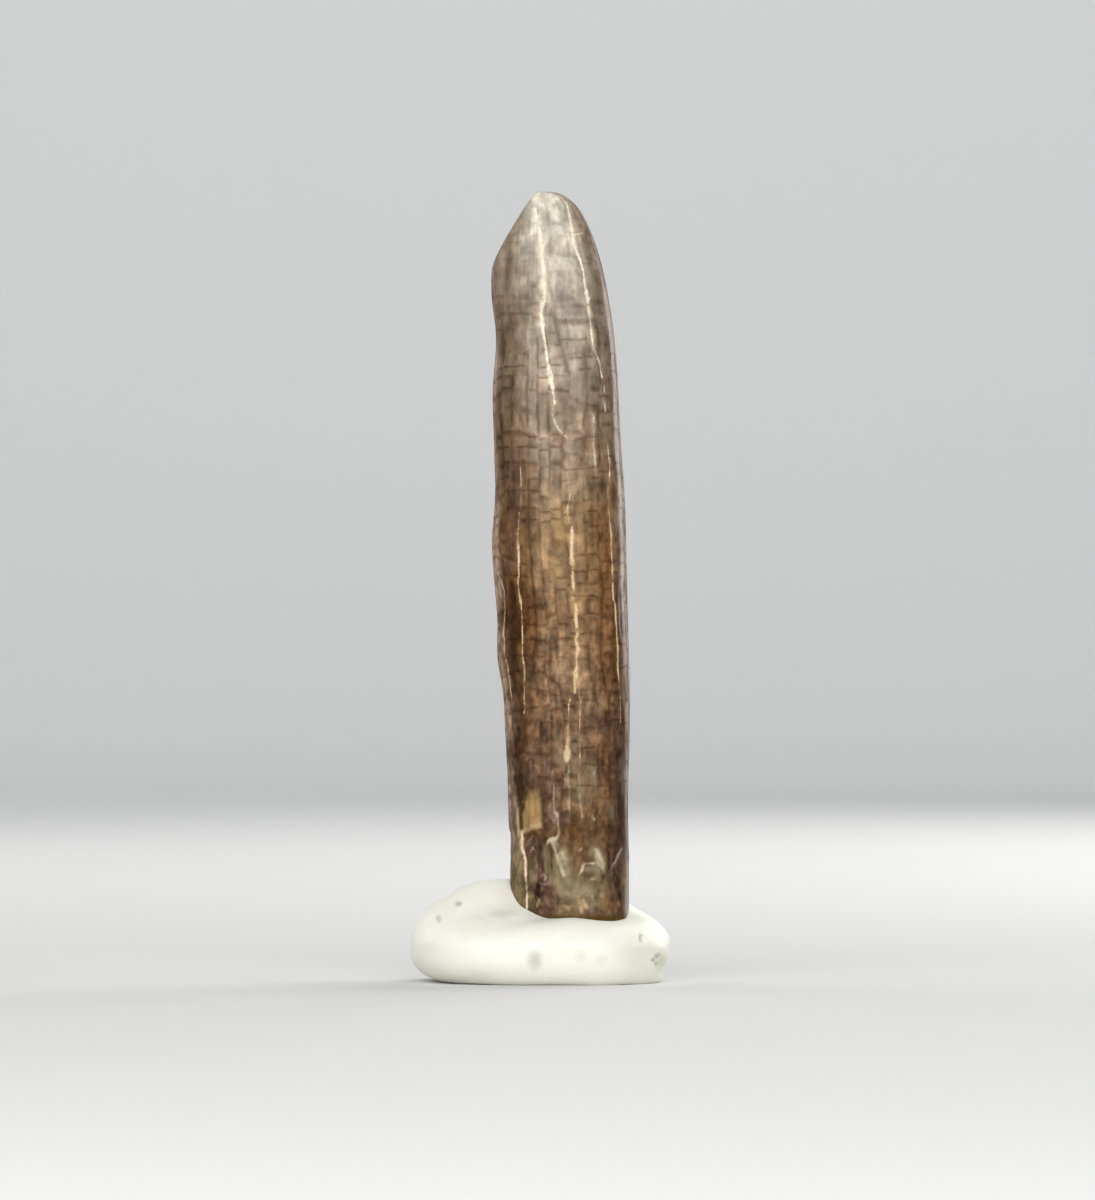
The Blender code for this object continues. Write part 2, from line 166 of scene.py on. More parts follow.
# The marks on its front, given as strokes: a strength, then points of across, height and half
# width. A stroke of one half width has it before its points instead.
VEINS = (  # cracks filled with cream
    (1.0, ((-0.32, 44.7, 0.05), (-0.25, 44.4, 0.08), (-0.15, 44.0, 0.11), (-0.08, 43.6, 0.13),
        (-0.01, 43.2, 0.19), (0.07, 42.6, 0.14), (0.1, 42.1, 0.12), (0.12, 41.5, 0.17), (0.19, 41.0, 0.14),
        (0.21, 40.7, 0.19), (0.19, 40.3, 0.12), (0.26, 39.9, 0.11), (0.21, 39.4, 0.17), (0.03, 39.0, 0.12),
        (0.06, 38.4, 0.14), (0.1, 38.0, 0.17), (0.16, 37.5, 0.09), (0.26, 37.0, 0.08), (0.35, 36.3, 0.09),
        (0.41, 35.8, 0.08), (0.52, 35.2, 0.17), (0.61, 34.8, 0.18), (0.7, 34.2, 0.1), (0.79, 33.8, 0.09),
        (0.82, 33.4, 0.08))),
    (0.8, ((-0.23, 39.5, 0.07), (0.01, 39.5, 0.07), (0.23, 39.4, 0.08))),
    (0.75, ((0.82, 33.4, 0.08), (0.68, 32.8, 0.08), (0.88, 32.2, 0.07), (1.23, 31.7, 0.07),
        (1.62, 31.4, 0.06))),
    (1.0, ((1.4, 45.2, 0.06), (1.54, 45.1, 0.08), (1.63, 44.7, 0.1), (1.72, 44.3, 0.11), (1.79, 43.7, 0.16),
        (1.88, 43.2, 0.2), (1.92, 42.7, 0.2), (2.07, 42.3, 0.16), (2.23, 42.0, 0.13), (2.34, 41.7, 0.11),
        (2.45, 41.3, 0.1), (2.52, 40.9, 0.1), (2.59, 40.3, 0.12), (2.68, 39.9, 0.14), (2.74, 39.5, 0.17),
        (2.76, 39.3, 0.12))),
    (0.95, ((2.79, 39.0, 0.1), (2.88, 38.4, 0.08), (2.94, 37.9, 0.09), (2.99, 37.3, 0.14),
        (3.05, 36.9, 0.1), (3.12, 36.5, 0.06), (3.29, 36.2, 0.05), (3.43, 35.8, 0.05), (3.5, 35.3, 0.05),
        (3.59, 35.0, 0.07))),
    (0.8, ((2.01, 43.2, 0.07), (2.23, 43.3, 0.07), (2.48, 43.4, 0.07))),
    (0.85, ((3.7, 34.4, 0.05), (3.73, 34.0, 0.05))), (0.8, ((3.75, 33.5, 0.08), (3.79, 33.0, 0.07))),
    (0.6, ((3.09, 32.8, 0.11), (3.12, 32.1, 0.12), (3.09, 31.0, 0.11), (3.18, 30.1, 0.12),
        (3.25, 29.2, 0.11))),
    (0.85, ((3.92, 31.2, 0.05), (3.96, 30.5, 0.05), (4.03, 29.9, 0.05), (4.01, 29.2, 0.05))),
    (0.75, ((4.01, 30.3, 0.05), (4.03, 29.6, 0.05), (3.99, 28.9, 0.05), (3.92, 28.4, 0.05),
        (3.95, 27.7, 0.05), (4.01, 26.9, 0.08), (4.07, 26.4, 0.09), (4.12, 25.8, 0.08), (4.1, 25.2, 0.07),
        (4.12, 24.6, 0.06), (4.18, 24.1, 0.05), (4.16, 23.6, 0.05))),
    (0.95, ((4.21, 23.0, 0.07), (4.23, 22.5, 0.11), (4.25, 22.1, 0.09))),
    (0.9, ((4.36, 21.8, 0.07), (4.38, 21.1, 0.08), (4.41, 20.5, 0.07), (4.47, 19.8, 0.06),
        (4.52, 19.3, 0.08), (4.52, 18.7, 0.07), (4.47, 18.3, 0.05), (4.54, 17.8, 0.09),
        (4.56, 17.5, 0.05))),
    (0.8, ((4.65, 16.6, 0.05), (4.67, 15.9, 0.05), (4.65, 15.0, 0.05))),
    (0.8, ((1.77, 28.4, 0.05), (1.66, 27.9, 0.05), (1.59, 27.4, 0.05), (1.53, 27.2, 0.05),
        (1.7, 26.7, 0.05))),
    (1.0, ((1.83, 26.3, 0.07), (1.85, 25.9, 0.11), (1.82, 25.4, 0.09))),
    (1.0, ((1.77, 25.1, 0.1), (1.78, 24.6, 0.11), (1.83, 24.2, 0.14))),
    (1.0, ((1.88, 23.7, 0.09), (1.88, 23.2, 0.1), (1.94, 22.6, 0.07))),
    (0.9, ((1.85, 22.3, 0.06), (1.88, 22.2, 0.06))),
    (1.0, ((2.03, 21.9, 0.09), (2.07, 21.5, 0.09), (2.04, 21.1, 0.12), (2.1, 20.6, 0.09))),
    (1.0, ((2.17, 20.2, 0.07), (2.02, 19.8, 0.08), (2.17, 19.3, 0.12), (2.1, 18.9, 0.07))),
    (1.0, ((2.1, 18.1, 0.1), (2.04, 17.9, 0.17), (1.99, 17.6, 0.11), (1.94, 17.1, 0.09),
        (2.01, 16.7, 0.06))),
    (0.8, ((2.23, 16.7, 0.05), (2.31, 16.3, 0.05), (2.28, 15.4, 0.05), (2.23, 14.4, 0.05),
        (2.25, 13.6, 0.05), (2.28, 13.0, 0.05))),
    (0.85, ((1.68, 16.4, 0.05), (1.62, 15.5, 0.05), (1.59, 14.7, 0.06), (1.62, 14.3, 0.05),
        (1.51, 13.6, 0.11), (1.46, 13.1, 0.16))),
    (0.75, ((-1.19, 29.8, 0.05), (-1.14, 29.3, 0.05), (-1.16, 28.6, 0.05), (-1.14, 27.8, 0.05),
        (-1.21, 27.2, 0.05), (-1.27, 26.4, 0.05), (-1.32, 25.8, 0.06))),
    (0.85, ((-1.3, 25.3, 0.09), (-1.29, 24.9, 0.11), (-1.27, 24.5, 0.09), (-1.27, 24.1, 0.07),
        (-1.25, 23.6, 0.07), (-1.32, 23.1, 0.06), (-1.26, 22.5, 0.07), (-1.14, 22.0, 0.08),
        (-1.12, 21.6, 0.05))),
    (0.85, ((-1.1, 20.8, 0.05), (-1.05, 20.1, 0.07), (-1.07, 19.4, 0.06), (-1.01, 18.6, 0.06),
        (-0.94, 18.1, 0.08), (-0.92, 17.4, 0.06), (-0.94, 16.6, 0.07), (-0.92, 15.9, 0.06),
        (-0.96, 15.5, 0.05))),
    (0.85, ((-2.52, 23.6, 0.08), (-2.3, 23.2, 0.08), (-2.15, 22.7, 0.06), (-2.1, 22.2, 0.05),
        (-2.07, 21.4, 0.06), (-2.1, 20.8, 0.07), (-2.17, 20.2, 0.12), (-2.1, 19.7, 0.07),
        (-2.14, 19.2, 0.09), (-2.07, 18.7, 0.08), (-1.93, 18.2, 0.08), (-1.82, 17.5, 0.08),
        (-1.74, 16.8, 0.07), (-1.65, 16.3, 0.05))),
    (0.8, ((1.85, 25.9, 0.05), (1.8, 24.9, 0.05), (1.86, 23.8, 0.05), (1.92, 22.6, 0.05),
        (1.88, 22.2, 0.05), (2.02, 21.8, 0.05), (2.08, 20.6, 0.05), (2.1, 19.8, 0.05), (2.12, 18.9, 0.05),
        (2.08, 18.1, 0.05), (2.0, 17.0, 0.05))),
    (0.75, ((4.12, 25.4, 0.05), (4.19, 24.0, 0.05), (4.23, 22.6, 0.05), (4.33, 21.8, 0.05),
        (4.44, 20.2, 0.05), (4.52, 18.4, 0.05), (4.6, 17.0, 0.05))),
    (0.75, ((-1.31, 25.9, 0.05), (-1.28, 24.5, 0.05), (-1.28, 22.8, 0.05), (-1.12, 21.6, 0.05),
        (-1.08, 20.6, 0.05), (-1.05, 19.4, 0.05))),
    (1.0, ((-1.12, 8.77, 0.05), (-1.08, 8.51, 0.11), (-1.15, 8.15, 0.14), (-1.13, 7.74, 0.16),
        (-1.02, 7.33, 0.15), (-0.95, 6.97, 0.14), (-0.96, 6.5, 0.12), (-0.94, 5.99, 0.12),
        (-0.89, 5.53, 0.14), (-0.89, 5.01, 0.13), (-0.92, 4.55, 0.11), (-0.93, 4.14, 0.08))),
)
TAN_MARKS = (  # calcite left on the worn foot
    (0.6, ((0.68, 12.4, 0.06), (0.68, 11.5, 0.06))),
    (0.6, ((1.59, 14.0, 0.12), (1.59, 13.6, 0.13), (1.63, 13.1, 0.14), (1.5, 12.8, 0.1))),
    (0.6, ((1.64, 12.6, 0.06), (1.59, 11.5, 0.06))),
    (0.55, ((2.25, 14.0, 0.07), (2.27, 12.9, 0.07), (2.23, 11.8, 0.07), (2.28, 10.6, 0.07))),
    (0.5, ((1.45, 12.0, 0.08), (1.42, 11.2, 0.07))), (0.5, ((3.1, 12.2, 0.09), (3.12, 11.8, 0.08))),
    (0.5, ((1.42, 13.3, 0.18), (1.48, 12.9, 0.18))), (0.4, ((-0.35, 12.6, 0.12), (-0.17, 12.4, 0.12))),
    (0.8, ((0.35, 8.0, 0.05), (0.42, 8.19, 0.07), (0.61, 8.33, 0.09), (0.83, 8.36, 0.11), (1.0, 8.46, 0.1),
        (1.08, 8.66, 0.06))),
    (0.95, ((0.67, 8.21, 0.12), (0.78, 7.89, 0.14), (0.89, 7.62, 0.12), (0.99, 7.26, 0.13),
        (1.07, 7.04, 0.14), (1.16, 6.79, 0.11), (1.23, 6.53, 0.11), (1.32, 6.34, 0.11),
        (1.38, 6.22, 0.07))),
    (0.6, ((0.86, 8.35, 0.12), (0.98, 8.15, 0.11), (1.02, 7.84, 0.07))),
    (0.55, ((1.25, 7.53, 0.15), (1.37, 7.22, 0.17), (1.38, 6.91, 0.11))),
    (0.6, ((0.75, 10.13, 0.09), (0.93, 9.74, 0.1), (1.02, 9.28, 0.06), (1.06, 8.77, 0.07))),
    (0.85, ((2.22, 6.27, 0.07), (2.35, 6.48, 0.09), (2.43, 6.66, 0.1), (2.49, 6.84, 0.07),
        (2.65, 6.95, 0.06), (2.88, 6.96, 0.07), (3.11, 6.92, 0.05))),
    (0.7, ((3.15, 7.73, 0.09), (3.34, 7.55, 0.13), (3.44, 7.3, 0.1), (3.59, 7.11, 0.13), (3.66, 6.88, 0.09),
        (3.62, 6.61, 0.1))),
    (0.55, ((3.23, 6.98, 0.09), (3.4, 6.85, 0.12), (3.57, 6.66, 0.09))),
    (0.4, ((3.22, 7.33, 0.12), (3.33, 7.07, 0.13))), (0.65, ((2.2, 7.62, 0.06), (2.4, 7.8, 0.07))),
    (0.6, ((1.65, 11.44, 0.06), (1.65, 10.82, 0.06), (1.66, 10.21, 0.07), (1.72, 9.79, 0.08))),
    (0.55, ((0.75, 11.44, 0.06), (0.78, 10.92, 0.06), (0.76, 10.41, 0.08))),
    (0.65, ((2.32, 10.41, 0.07), (2.35, 10.0, 0.09), (2.41, 9.64, 0.1))),
    (0.65, ((2.96, 9.64, 0.09), (3.12, 9.46, 0.11))), (0.45, ((2.8, 11.28, 0.08), (2.83, 11.13, 0.07))),
    (0.65, ((2.95, 6.03, 0.09), (3.22, 6.05, 0.1))), (0.45, ((4.12, 9.95, 0.1), (4.2, 9.69, 0.1))),
)
ROSE_GLINTS = (  # painted highlights: pinkish glints on the bare foot
    (0.8, ((-0.65, 7.61, 0.08), (-0.53, 7.78, 0.12), (-0.44, 7.66, 0.09))),
    (0.8, ((-0.06, 6.19, 0.06), (0.07, 6.32, 0.07), (0.24, 6.14, 0.09), (0.16, 5.98, 0.07))),
    (0.55, ((-0.14, 5.78, 0.1), (0.16, 5.71, 0.13), (0.48, 5.83, 0.11))),
    (0.55, ((0.48, 6.04, 0.09), (0.54, 5.73, 0.11))),
    (1.0, ((4.09, 6.49, 0.06), (4.18, 6.8, 0.09), (4.38, 7.02, 0.1), (4.5, 7.36, 0.12), (4.7, 7.7, 0.1))),
    (0.75, ((0.55, 10.15, 0.19), (0.65, 9.74, 0.23), (0.78, 9.38, 0.17))),
    (0.45, ((1.2, 9.9, 0.07), (1.34, 10.03, 0.07), (1.52, 10.01, 0.07))),
    (0.4, ((-0.74, 11.13, 0.15), (-0.48, 10.87, 0.26), (-0.17, 10.98, 0.15))),
)
SAND_MARKS = (  # sandy crust
    (0.85, ((-1.06, 8.66, 0.13), (-0.83, 8.86, 0.16), (-0.48, 9.06, 0.2), (-0.05, 9.15, 0.17))),
    (0.9, ((-1.32, 9.95, 0.15), (-1.34, 9.28, 0.19), (-1.26, 8.56, 0.2), (-1.24, 8.05, 0.13),
        (-1.19, 7.53, 0.08))),
    (0.75, ((1.38, 4.44, 0.14), (1.59, 4.36, 0.17))), (0.6, ((1.49, 5.29, 0.08), (1.6, 5.2, 0.08))),
    (0.45, ((2.9, 5.32, 0.09), (2.8, 5.12, 0.08))),
    (0.75, ((2.22, 5.06, 0.08), (2.27, 4.7, 0.12), (2.37, 4.24, 0.09))),
    (0.9, ((2.49, 4.81, 0.11), (2.59, 4.55, 0.17), (2.8, 4.39, 0.1))),
    (0.55, ((3.03, 5.09, 0.1), (3.1, 4.81, 0.13))), (0.6, ((2.35, 4.34, 0.12), (2.4, 4.04, 0.14))),
    (0.5, ((3.57, 5.24, 0.07), (3.6, 5.06, 0.08))), (0.5, ((4.6, 4.63, 0.12), (4.65, 4.42, 0.13))),
    (0.55, ((-0.29, 4.45, 0.13), (-0.16, 4.76, 0.14))), (0.45, ((-1.7, 4.81, 0.12), (-1.56, 4.88, 0.13))),
    (0.5, ((1.04, 4.19, 0.09), (1.14, 4.47, 0.09))), (0.5, ((3.38, 4.6, 0.15), (3.54, 4.4, 0.15))),
    (0.35, ((1.57, 5.37, 0.26), (2.1, 5.06, 0.26))),
)
OLIVE_PATCHES = (  # dull green patches on the bare root
    (1.0, ((1.28, 7.58, 0.19), (1.47, 7.12, 0.26), (1.52, 6.71, 0.22), (1.57, 6.35, 0.15))),
    (0.6, ((0.91, 7.17, 0.13), (0.96, 6.5, 0.15), (1.04, 5.78, 0.19), (1.12, 5.17, 0.17))),
    (1.0, ((3.12, 7.63, 0.23), (3.41, 7.27, 0.28), (3.54, 6.86, 0.27), (3.64, 6.5, 0.15))),
    (0.7, ((2.69, 6.63, 0.17), (3.06, 6.63, 0.2), (3.38, 6.5, 0.17))),
    (0.8, ((1.52, 5.94, 0.29), (2.05, 5.78, 0.33), (2.16, 5.37, 0.33))),
    (0.7, ((1.25, 5.32, 0.23), (1.78, 5.06, 0.29), (2.64, 5.27, 0.31))),
    (0.6, ((2.74, 5.68, 0.21), (2.95, 5.27, 0.23))), (0.6, ((2.53, 4.6, 0.31), (2.95, 4.6, 0.26))),
    (0.6, ((-1.41, 7.38, 0.17), (-1.43, 6.81, 0.19), (-1.35, 6.5, 0.15))),
    (0.4, ((-1.57, 5.53, 0.15), (-1.59, 5.17, 0.17))), (0.4, ((4.04, 10.21, 0.17), (4.15, 9.69, 0.2))),
    (0.6, ((0.28, 7.84, 0.15), (0.26, 7.07, 0.17), (0.25, 6.4, 0.14))),
    (0.55, ((-0.42, 7.22, 0.08), (-0.33, 6.81, 0.1))), (0.5, ((-0.81, 8.15, 0.04), (-0.55, 8.5, 0.05))),
    (0.5, ((-0.61, 6.4, 0.14), (-0.55, 6.04, 0.15))),
    (0.45, ((2.1, 13.6, 0.3), (2.2, 11.8, 0.34), (2.25, 10.6, 0.28))),
    (0.4, ((1.1, 14.2, 0.26), (1.15, 12.6, 0.28))), (0.4, ((3.1, 12.6, 0.24), (3.15, 11.4, 0.26))),
)
GOLDEN_MARKS = (  # dark golden stains in the hollows
    (0.95, ((-0.95, 8.05, 0.09), (-0.79, 8.35, 0.11), (-0.61, 8.61, 0.12), (-0.39, 8.7, 0.12),
        (-0.22, 8.58, 0.1))),
    (0.75, ((-1.17, 11.13, 0.12), (-1.13, 10.62, 0.11), (-1.07, 10.1, 0.09), (-1.02, 9.59, 0.06),
        (-0.98, 9.13, 0.05))),
    (0.85, ((0.61, 7.98, 0.1), (0.58, 7.53, 0.08), (0.61, 7.02, 0.09), (0.64, 6.5, 0.08))),
    (0.6, ((2.0, 7.33, 0.13), (1.96, 6.81, 0.15), (1.91, 6.4, 0.12))),
)
OCHRE_STAINS = (  # the ochre patch over the foot, and its edge
    (0.9, ((-0.76, 10.41, 0.15), (-0.78, 10.0, 0.17), (-0.81, 9.54, 0.15), (-0.8, 9.23, 0.12))),
    (0.95, ((-0.5, 10.56, 0.2), (-0.49, 10.05, 0.24), (-0.49, 9.49, 0.26), (-0.49, 9.15, 0.23))),
    (0.9, ((-0.19, 10.51, 0.16), (-0.16, 10.05, 0.19), (-0.16, 9.59, 0.2), (-0.18, 9.18, 0.16))),
    (0.5, ((-0.64, 10.82, 0.23), (-0.33, 10.92, 0.23), (-0.17, 10.77, 0.19))),
    (0.6, ((-1.29, 9.59, 0.08), (-1.3, 9.18, 0.1), (-1.25, 8.77, 0.08))),
    (0.9, ((-0.95, 9.75, 0.12), (-0.93, 9.2, 0.14), (-0.9, 8.8, 0.12))),
)
DARK_SPOTS = (  # dark knots and pits
    (0.6, ((-0.93, 8.05, 0.07), (-0.83, 7.43, 0.08), (-0.78, 6.5, 0.08), (-0.76, 5.27, 0.08))),
    (0.8, ((-0.01, 7.89, 0.14), (0.02, 7.63, 0.16))), (0.75, ((0.05, 7.02, 0.1), (0.1, 6.3, 0.1))),
    (0.7, ((-0.25, 6.09, 0.08), (-0.09, 5.94, 0.08), (0.32, 5.86, 0.08))),
    (1.0, ((-0.25, 5.63, 0.17), (-0.26, 5.27, 0.21), (-0.3, 4.96, 0.16))),
    (0.45, ((-0.37, 8.35, 0.26), (-0.01, 8.05, 0.26))),
    (0.9, ((3.9, 8.05, 0.1), (3.95, 7.33, 0.16), (3.96, 6.55, 0.16))),
    (0.85, ((4.89, 7.63, 0.17), (4.75, 6.81, 0.21))),
    (0.9, ((4.32, 6.5, 0.21), (4.5, 5.78, 0.29), (4.67, 5.06, 0.23))),
    (0.85, ((3.53, 6.61, 0.1), (3.62, 6.37, 0.12), (3.72, 6.13, 0.13))),
    (0.5, ((0.93, 5.12, 0.12), (1.04, 4.55, 0.13))), (0.5, ((-0.66, 4.76, 0.12), (-0.69, 4.24, 0.12))),
    (0.55, ((1.78, 10.26, 0.09), (1.81, 10.13, 0.1))),
    (0.7, ((4.61, 11.44, 0.15), (4.61, 10.67, 0.17), (4.56, 9.9, 0.14))),
    (0.5, ((3.38, 4.96, 0.1), (3.43, 4.7, 0.09))), (0.5, ((2.37, 7.38, 0.19), (2.8, 7.17, 0.21))),
    (0.5, ((1.78, 6.97, 0.21), (2.0, 6.66, 0.21))), (0.5, ((4.04, 9.28, 0.17), (3.99, 8.35, 0.15))),
    (0.45, ((-1.51, 6.3, 0.15), (-1.65, 5.89, 0.13))), (0.4, ((0.19, 10.98, 0.12), (0.24, 10.41, 0.12))),
    (0.5, ((0.65, 7.96, 0.07), (0.73, 7.78, 0.06))),
    (0.5, ((-0.37, 8.66, 0.08), (-0.15, 8.53, 0.1), (0.02, 8.3, 0.08))),
    (0.5, ((1.04, 4.81, 0.09), (0.91, 4.5, 0.08))), (0.45, ((3.8, 5.68, 0.13), (3.96, 5.27, 0.13))),
    (0.5, ((1.94, 4.14, 0.15), (2.1, 4.08, 0.13))), (0.55, ((1.46, 38.3, 0.1), (1.5, 37.9, 0.09))),
    (0.5, ((1.52, 37.0, 0.09), (1.55, 36.6, 0.08))), (0.7, ((1.69, 32.7, 0.09), (1.73, 32.5, 0.09))),
    (0.5, ((-1.0, 36.3, 0.08), (-0.7, 36.2, 0.09))), (0.5, ((-1.1, 35.4, 0.08), (-0.8, 35.4, 0.08))),
    (0.5, ((-1.95, 41.7, 0.09), (-1.65, 41.7, 0.1))), (0.5, ((-1.9, 40.4, 0.1), (-1.7, 40.4, 0.09))),
    (0.45, ((-1.5, 38.9, 0.08), (-0.85, 39.0, 0.07))), (0.5, ((2.6, 42.2, 0.12), (2.75, 41.8, 0.12))),
    (0.5, ((3.45, 32.9, 0.09), (3.65, 32.9, 0.09))), (0.5, ((1.9, 31.8, 0.08), (2.15, 31.8, 0.08))),
    (0.5, ((1.1, 31.2, 0.08), (1.4, 31.2, 0.08))), (0.5, ((-1.0, 28.0, 0.12), (-0.8, 27.9, 0.1))),
    (0.5, ((0.3, 22.2, 0.1), (0.38, 21.5, 0.09))),
)
MAUVE_PATCHES = (
    (0.8, ((1.27, 9.64, 0.21), (1.42, 9.54, 0.24))),
    (0.4, ((0.32, 5.37, 0.26), (0.48, 4.76, 0.29), (0.21, 4.14, 0.29))),
    (0.45, ((-0.55, 13.6, 0.26), (-0.35, 12.2, 0.3), (-0.45, 11.4, 0.24))),
    (0.5, ((0.55, 12.6, 0.22), (0.6, 11.0, 0.24))), (0.45, ((3.2, 15.6, 0.4), (3.6, 14.6, 0.44))),
)
CHIP = (  # where a flake of enamel has come away
    (1.0, ((-0.52, 8.35, 0.22), (-0.4, 7.9, 0.36), (-0.25, 7.1, 0.5), (-0.05, 6.2, 0.6), (0.05, 5.3, 0.7),
        (0.1, 4.2, 0.75))),
)
CRACKS_DOWN = (  # dark cracks along the tooth, of one half width each, like all the next ones
    (0.45, 0.16, ((-1.39, 43.3), (-1.33, 41.8), (-1.36, 39.7))),
    (0.35, 0.12, ((-1.94, 42.7), (-1.91, 40.2))),
    (0.45, 0.13, ((-2.2, 39.2), (-2.23, 37.2), (-2.15, 34.9))), (0.4, 0.11, ((1.45, 38.5), (1.57, 36.9))),
    (0.35, 0.09, ((1.51, 35.7), (1.54, 34.5))),
    (0.5, 0.1, ((2.67, 36.1), (2.73, 34.5), (2.7, 33.1), (2.76, 31.0))),
    (0.6, 0.1, ((2.76, 31.4), (2.73, 30.0), (2.76, 28.7))),
    (0.4, 0.09, ((3.25, 34.9), (3.36, 33.2), (3.33, 31.4))),
    (0.55, 0.12, ((3.42, 31.0), (3.48, 29.7), (3.65, 28.7))),
    (0.5, 0.1, ((-1.36, 32.9), (-1.04, 32.4), (-0.9, 31.8))),
    (0.7, 0.14, ((-0.94, 30.0), (-0.87, 29.0), (-0.78, 28.0))),
    (0.55, 0.16, ((-1.54, 29.8), (-1.62, 28.0), (-1.54, 26.2), (-1.62, 24.5))),
    (0.6, 0.1, ((2.96, 27.3), (3.05, 25.9), (2.99, 23.5))),
    (0.7, 0.14, ((3.71, 27.4), (3.86, 26.3), (3.83, 25.1), (3.89, 23.7))),
    (0.6, 0.12, ((4.38, 28.7), (4.29, 27.1), (4.25, 25.0))),
    (0.85, 0.22, ((-1.74, 23.1), (-1.59, 21.6), (-1.57, 19.3), (-1.48, 16.9), (-1.42, 15.3))),
    (0.5, 0.16, ((-0.81, 22.7), (-0.7, 21.0), (-0.64, 18.3))), (0.35, 0.09, ((0.43, 24.4), (0.46, 23.2))),
    (0.5, 0.09, ((0.52, 22.6), (0.55, 21.8))), (0.75, 0.11, ((0.55, 20.6), (0.61, 20.2), (0.58, 18.4))),
    (0.8, 0.12, ((4.6, 22.7), (4.67, 20.7), (4.69, 18.4), (4.7, 16.0))),
    (0.5, 0.12, ((4.09, 21.0), (4.26, 19.3), (4.21, 17.4))), (0.5, 0.08, ((1.57, 16.6), (1.62, 15.3))),
    (0.75, 0.15, ((-1.33, 15.3), (-1.25, 13.5), (-1.25, 11.1), (-1.19, 9.9))),
    (0.65, 0.14, ((4.84, 15.3), (4.81, 11.7), (4.7, 7.7))), (0.5, 0.1, ((3.89, 7.7), (3.94, 6.4))),
    (0.8, 0.13, ((-0.9, 8.1), (-0.73, 8.5), (-0.43, 8.7))),
    (0.5, 0.12, ((0.52, 8.1), (0.64, 7.2), (0.75, 5.9))),
    (0.4, 0.1, ((0.99, 15.1), (1.1, 13.9), (1.1, 12.9))), (0.4, 0.08, ((0.23, 39.6), (0.35, 38.5))),
    (0.35, 0.08, ((2.03, 28.0), (1.91, 25.3))), (0.35, 0.1, ((3.54, 22.7), (3.65, 19.8), (3.6, 16.9))),
    (0.35, 0.08, ((1.28, 16.4), (1.33, 12.9))),
)
CRACKS_ACROSS = (
    (0.5, 0.1, ((-1.97, 42.8), (-1.16, 42.8))), (0.5, 0.1, ((-2.26, 41.8), (-1.28, 41.8))),
    (0.35, 0.1, ((-1.39, 41.0), (-0.7, 40.9))), (0.35, 0.07, ((1.39, 43.3), (2.44, 43.4))),
    (0.45, 0.1, ((2.44, 42.8), (3.25, 42.7))), (0.45, 0.12, ((2.61, 41.9), (3.36, 41.6))),
    (0.45, 0.09, ((-2.61, 39.1), (-1.22, 39.1), (-0.23, 39.3))),
    (0.5, 0.09, ((0.35, 39.1), (1.1, 39.4), (1.97, 39.5))), (0.6, 0.09, ((2.67, 39.2), (3.6, 39.3))),
    (0.4, 0.08, ((0.23, 38.6), (1.1, 38.6), (2.78, 38.7))),
    (0.5, 0.09, ((-2.38, 38.0), (-1.51, 38.0), (-0.81, 38.2))), (0.5, 0.1, ((-1.62, 36.3), (-0.7, 36.4))),
    (0.5, 0.09, ((-1.51, 35.6), (-0.35, 35.7), (1.1, 36.1), (2.78, 36.5), (3.36, 36.2))),
    (0.65, 0.09, ((1.62, 33.1), (2.73, 33.1), (3.83, 32.9))), (0.5, 0.1, ((1.62, 31.8), (2.78, 31.7))),
    (0.55, 0.09, ((0.81, 31.3), (1.8, 31.4))), (0.45, 0.09, ((-2.61, 31.6), (-1.1, 31.6))),
    (0.5, 0.1, ((-0.99, 31.1), (0.0, 31.0))), (0.4, 0.09, ((0.23, 29.1), (0.93, 29.2))),
    (0.45, 0.09, ((1.74, 28.8), (2.84, 28.7))), (0.5, 0.1, ((3.31, 28.7), (3.94, 28.7))),
    (0.5, 0.11, ((-0.99, 27.8), (0.23, 27.9), (1.62, 28.1))), (0.5, 0.1, ((-1.1, 27.2), (0.58, 27.2))),
    (0.5, 0.1, ((-0.99, 26.4), (-0.41, 26.4))), (0.6, 0.1, ((1.86, 26.4), (2.96, 26.4), (4.0, 26.4))),
    (0.5, 0.11, ((-1.04, 25.2), (-0.23, 25.2))), (0.4, 0.1, ((-0.81, 24.4), (-0.29, 24.4))),
    (0.4, 0.09, ((-0.87, 23.8), (0.06, 23.7))), (0.5, 0.09, ((-1.04, 22.2), (0.23, 22.1), (1.57, 22.2))),
    (0.5, 0.09, ((2.09, 22.1), (4.23, 22.1))), (0.65, 0.1, ((2.09, 21.1), (3.13, 21.0), (4.23, 21.1))),
    (0.5, 0.09, ((0.64, 20.5), (1.91, 20.5))), (0.6, 0.09, ((-0.64, 19.5), (0.64, 19.6))),
    (0.6, 0.1, ((3.77, 19.5), (4.52, 19.7))), (0.6, 0.1, ((3.83, 19.1), (4.52, 19.1))),
    (0.5, 0.09, ((2.26, 18.7), (3.36, 18.8))), (0.65, 0.11, ((2.78, 18.0), (3.42, 18.0), (4.47, 18.1))),
    (0.4, 0.09, ((-0.87, 18.0), (0.35, 18.0))), (0.55, 0.09, ((0.52, 17.3), (1.1, 17.3), (1.68, 17.3))),
    (0.5, 0.09, ((1.62, 16.6), (2.84, 16.6), (4.47, 16.6))), (0.4, 0.09, ((0.12, 16.6), (0.93, 16.6))),
    (0.4, 0.1, ((2.49, 13.9), (3.42, 13.7))), (0.45, 0.1, ((0.41, 13.6), (1.45, 13.7))),
    (0.35, 0.1, ((-0.81, 14.2), (0.23, 14.0))), (0.4, 0.1, ((3.65, 12.3), (4.7, 12.0))),
)
SOFT_OCHRE = (
    (0.5, 0.35, ((1.25, 27.3), (1.1, 25.2))), (0.5, 0.3, ((0.85, 24.2), (0.95, 23.2))),
)
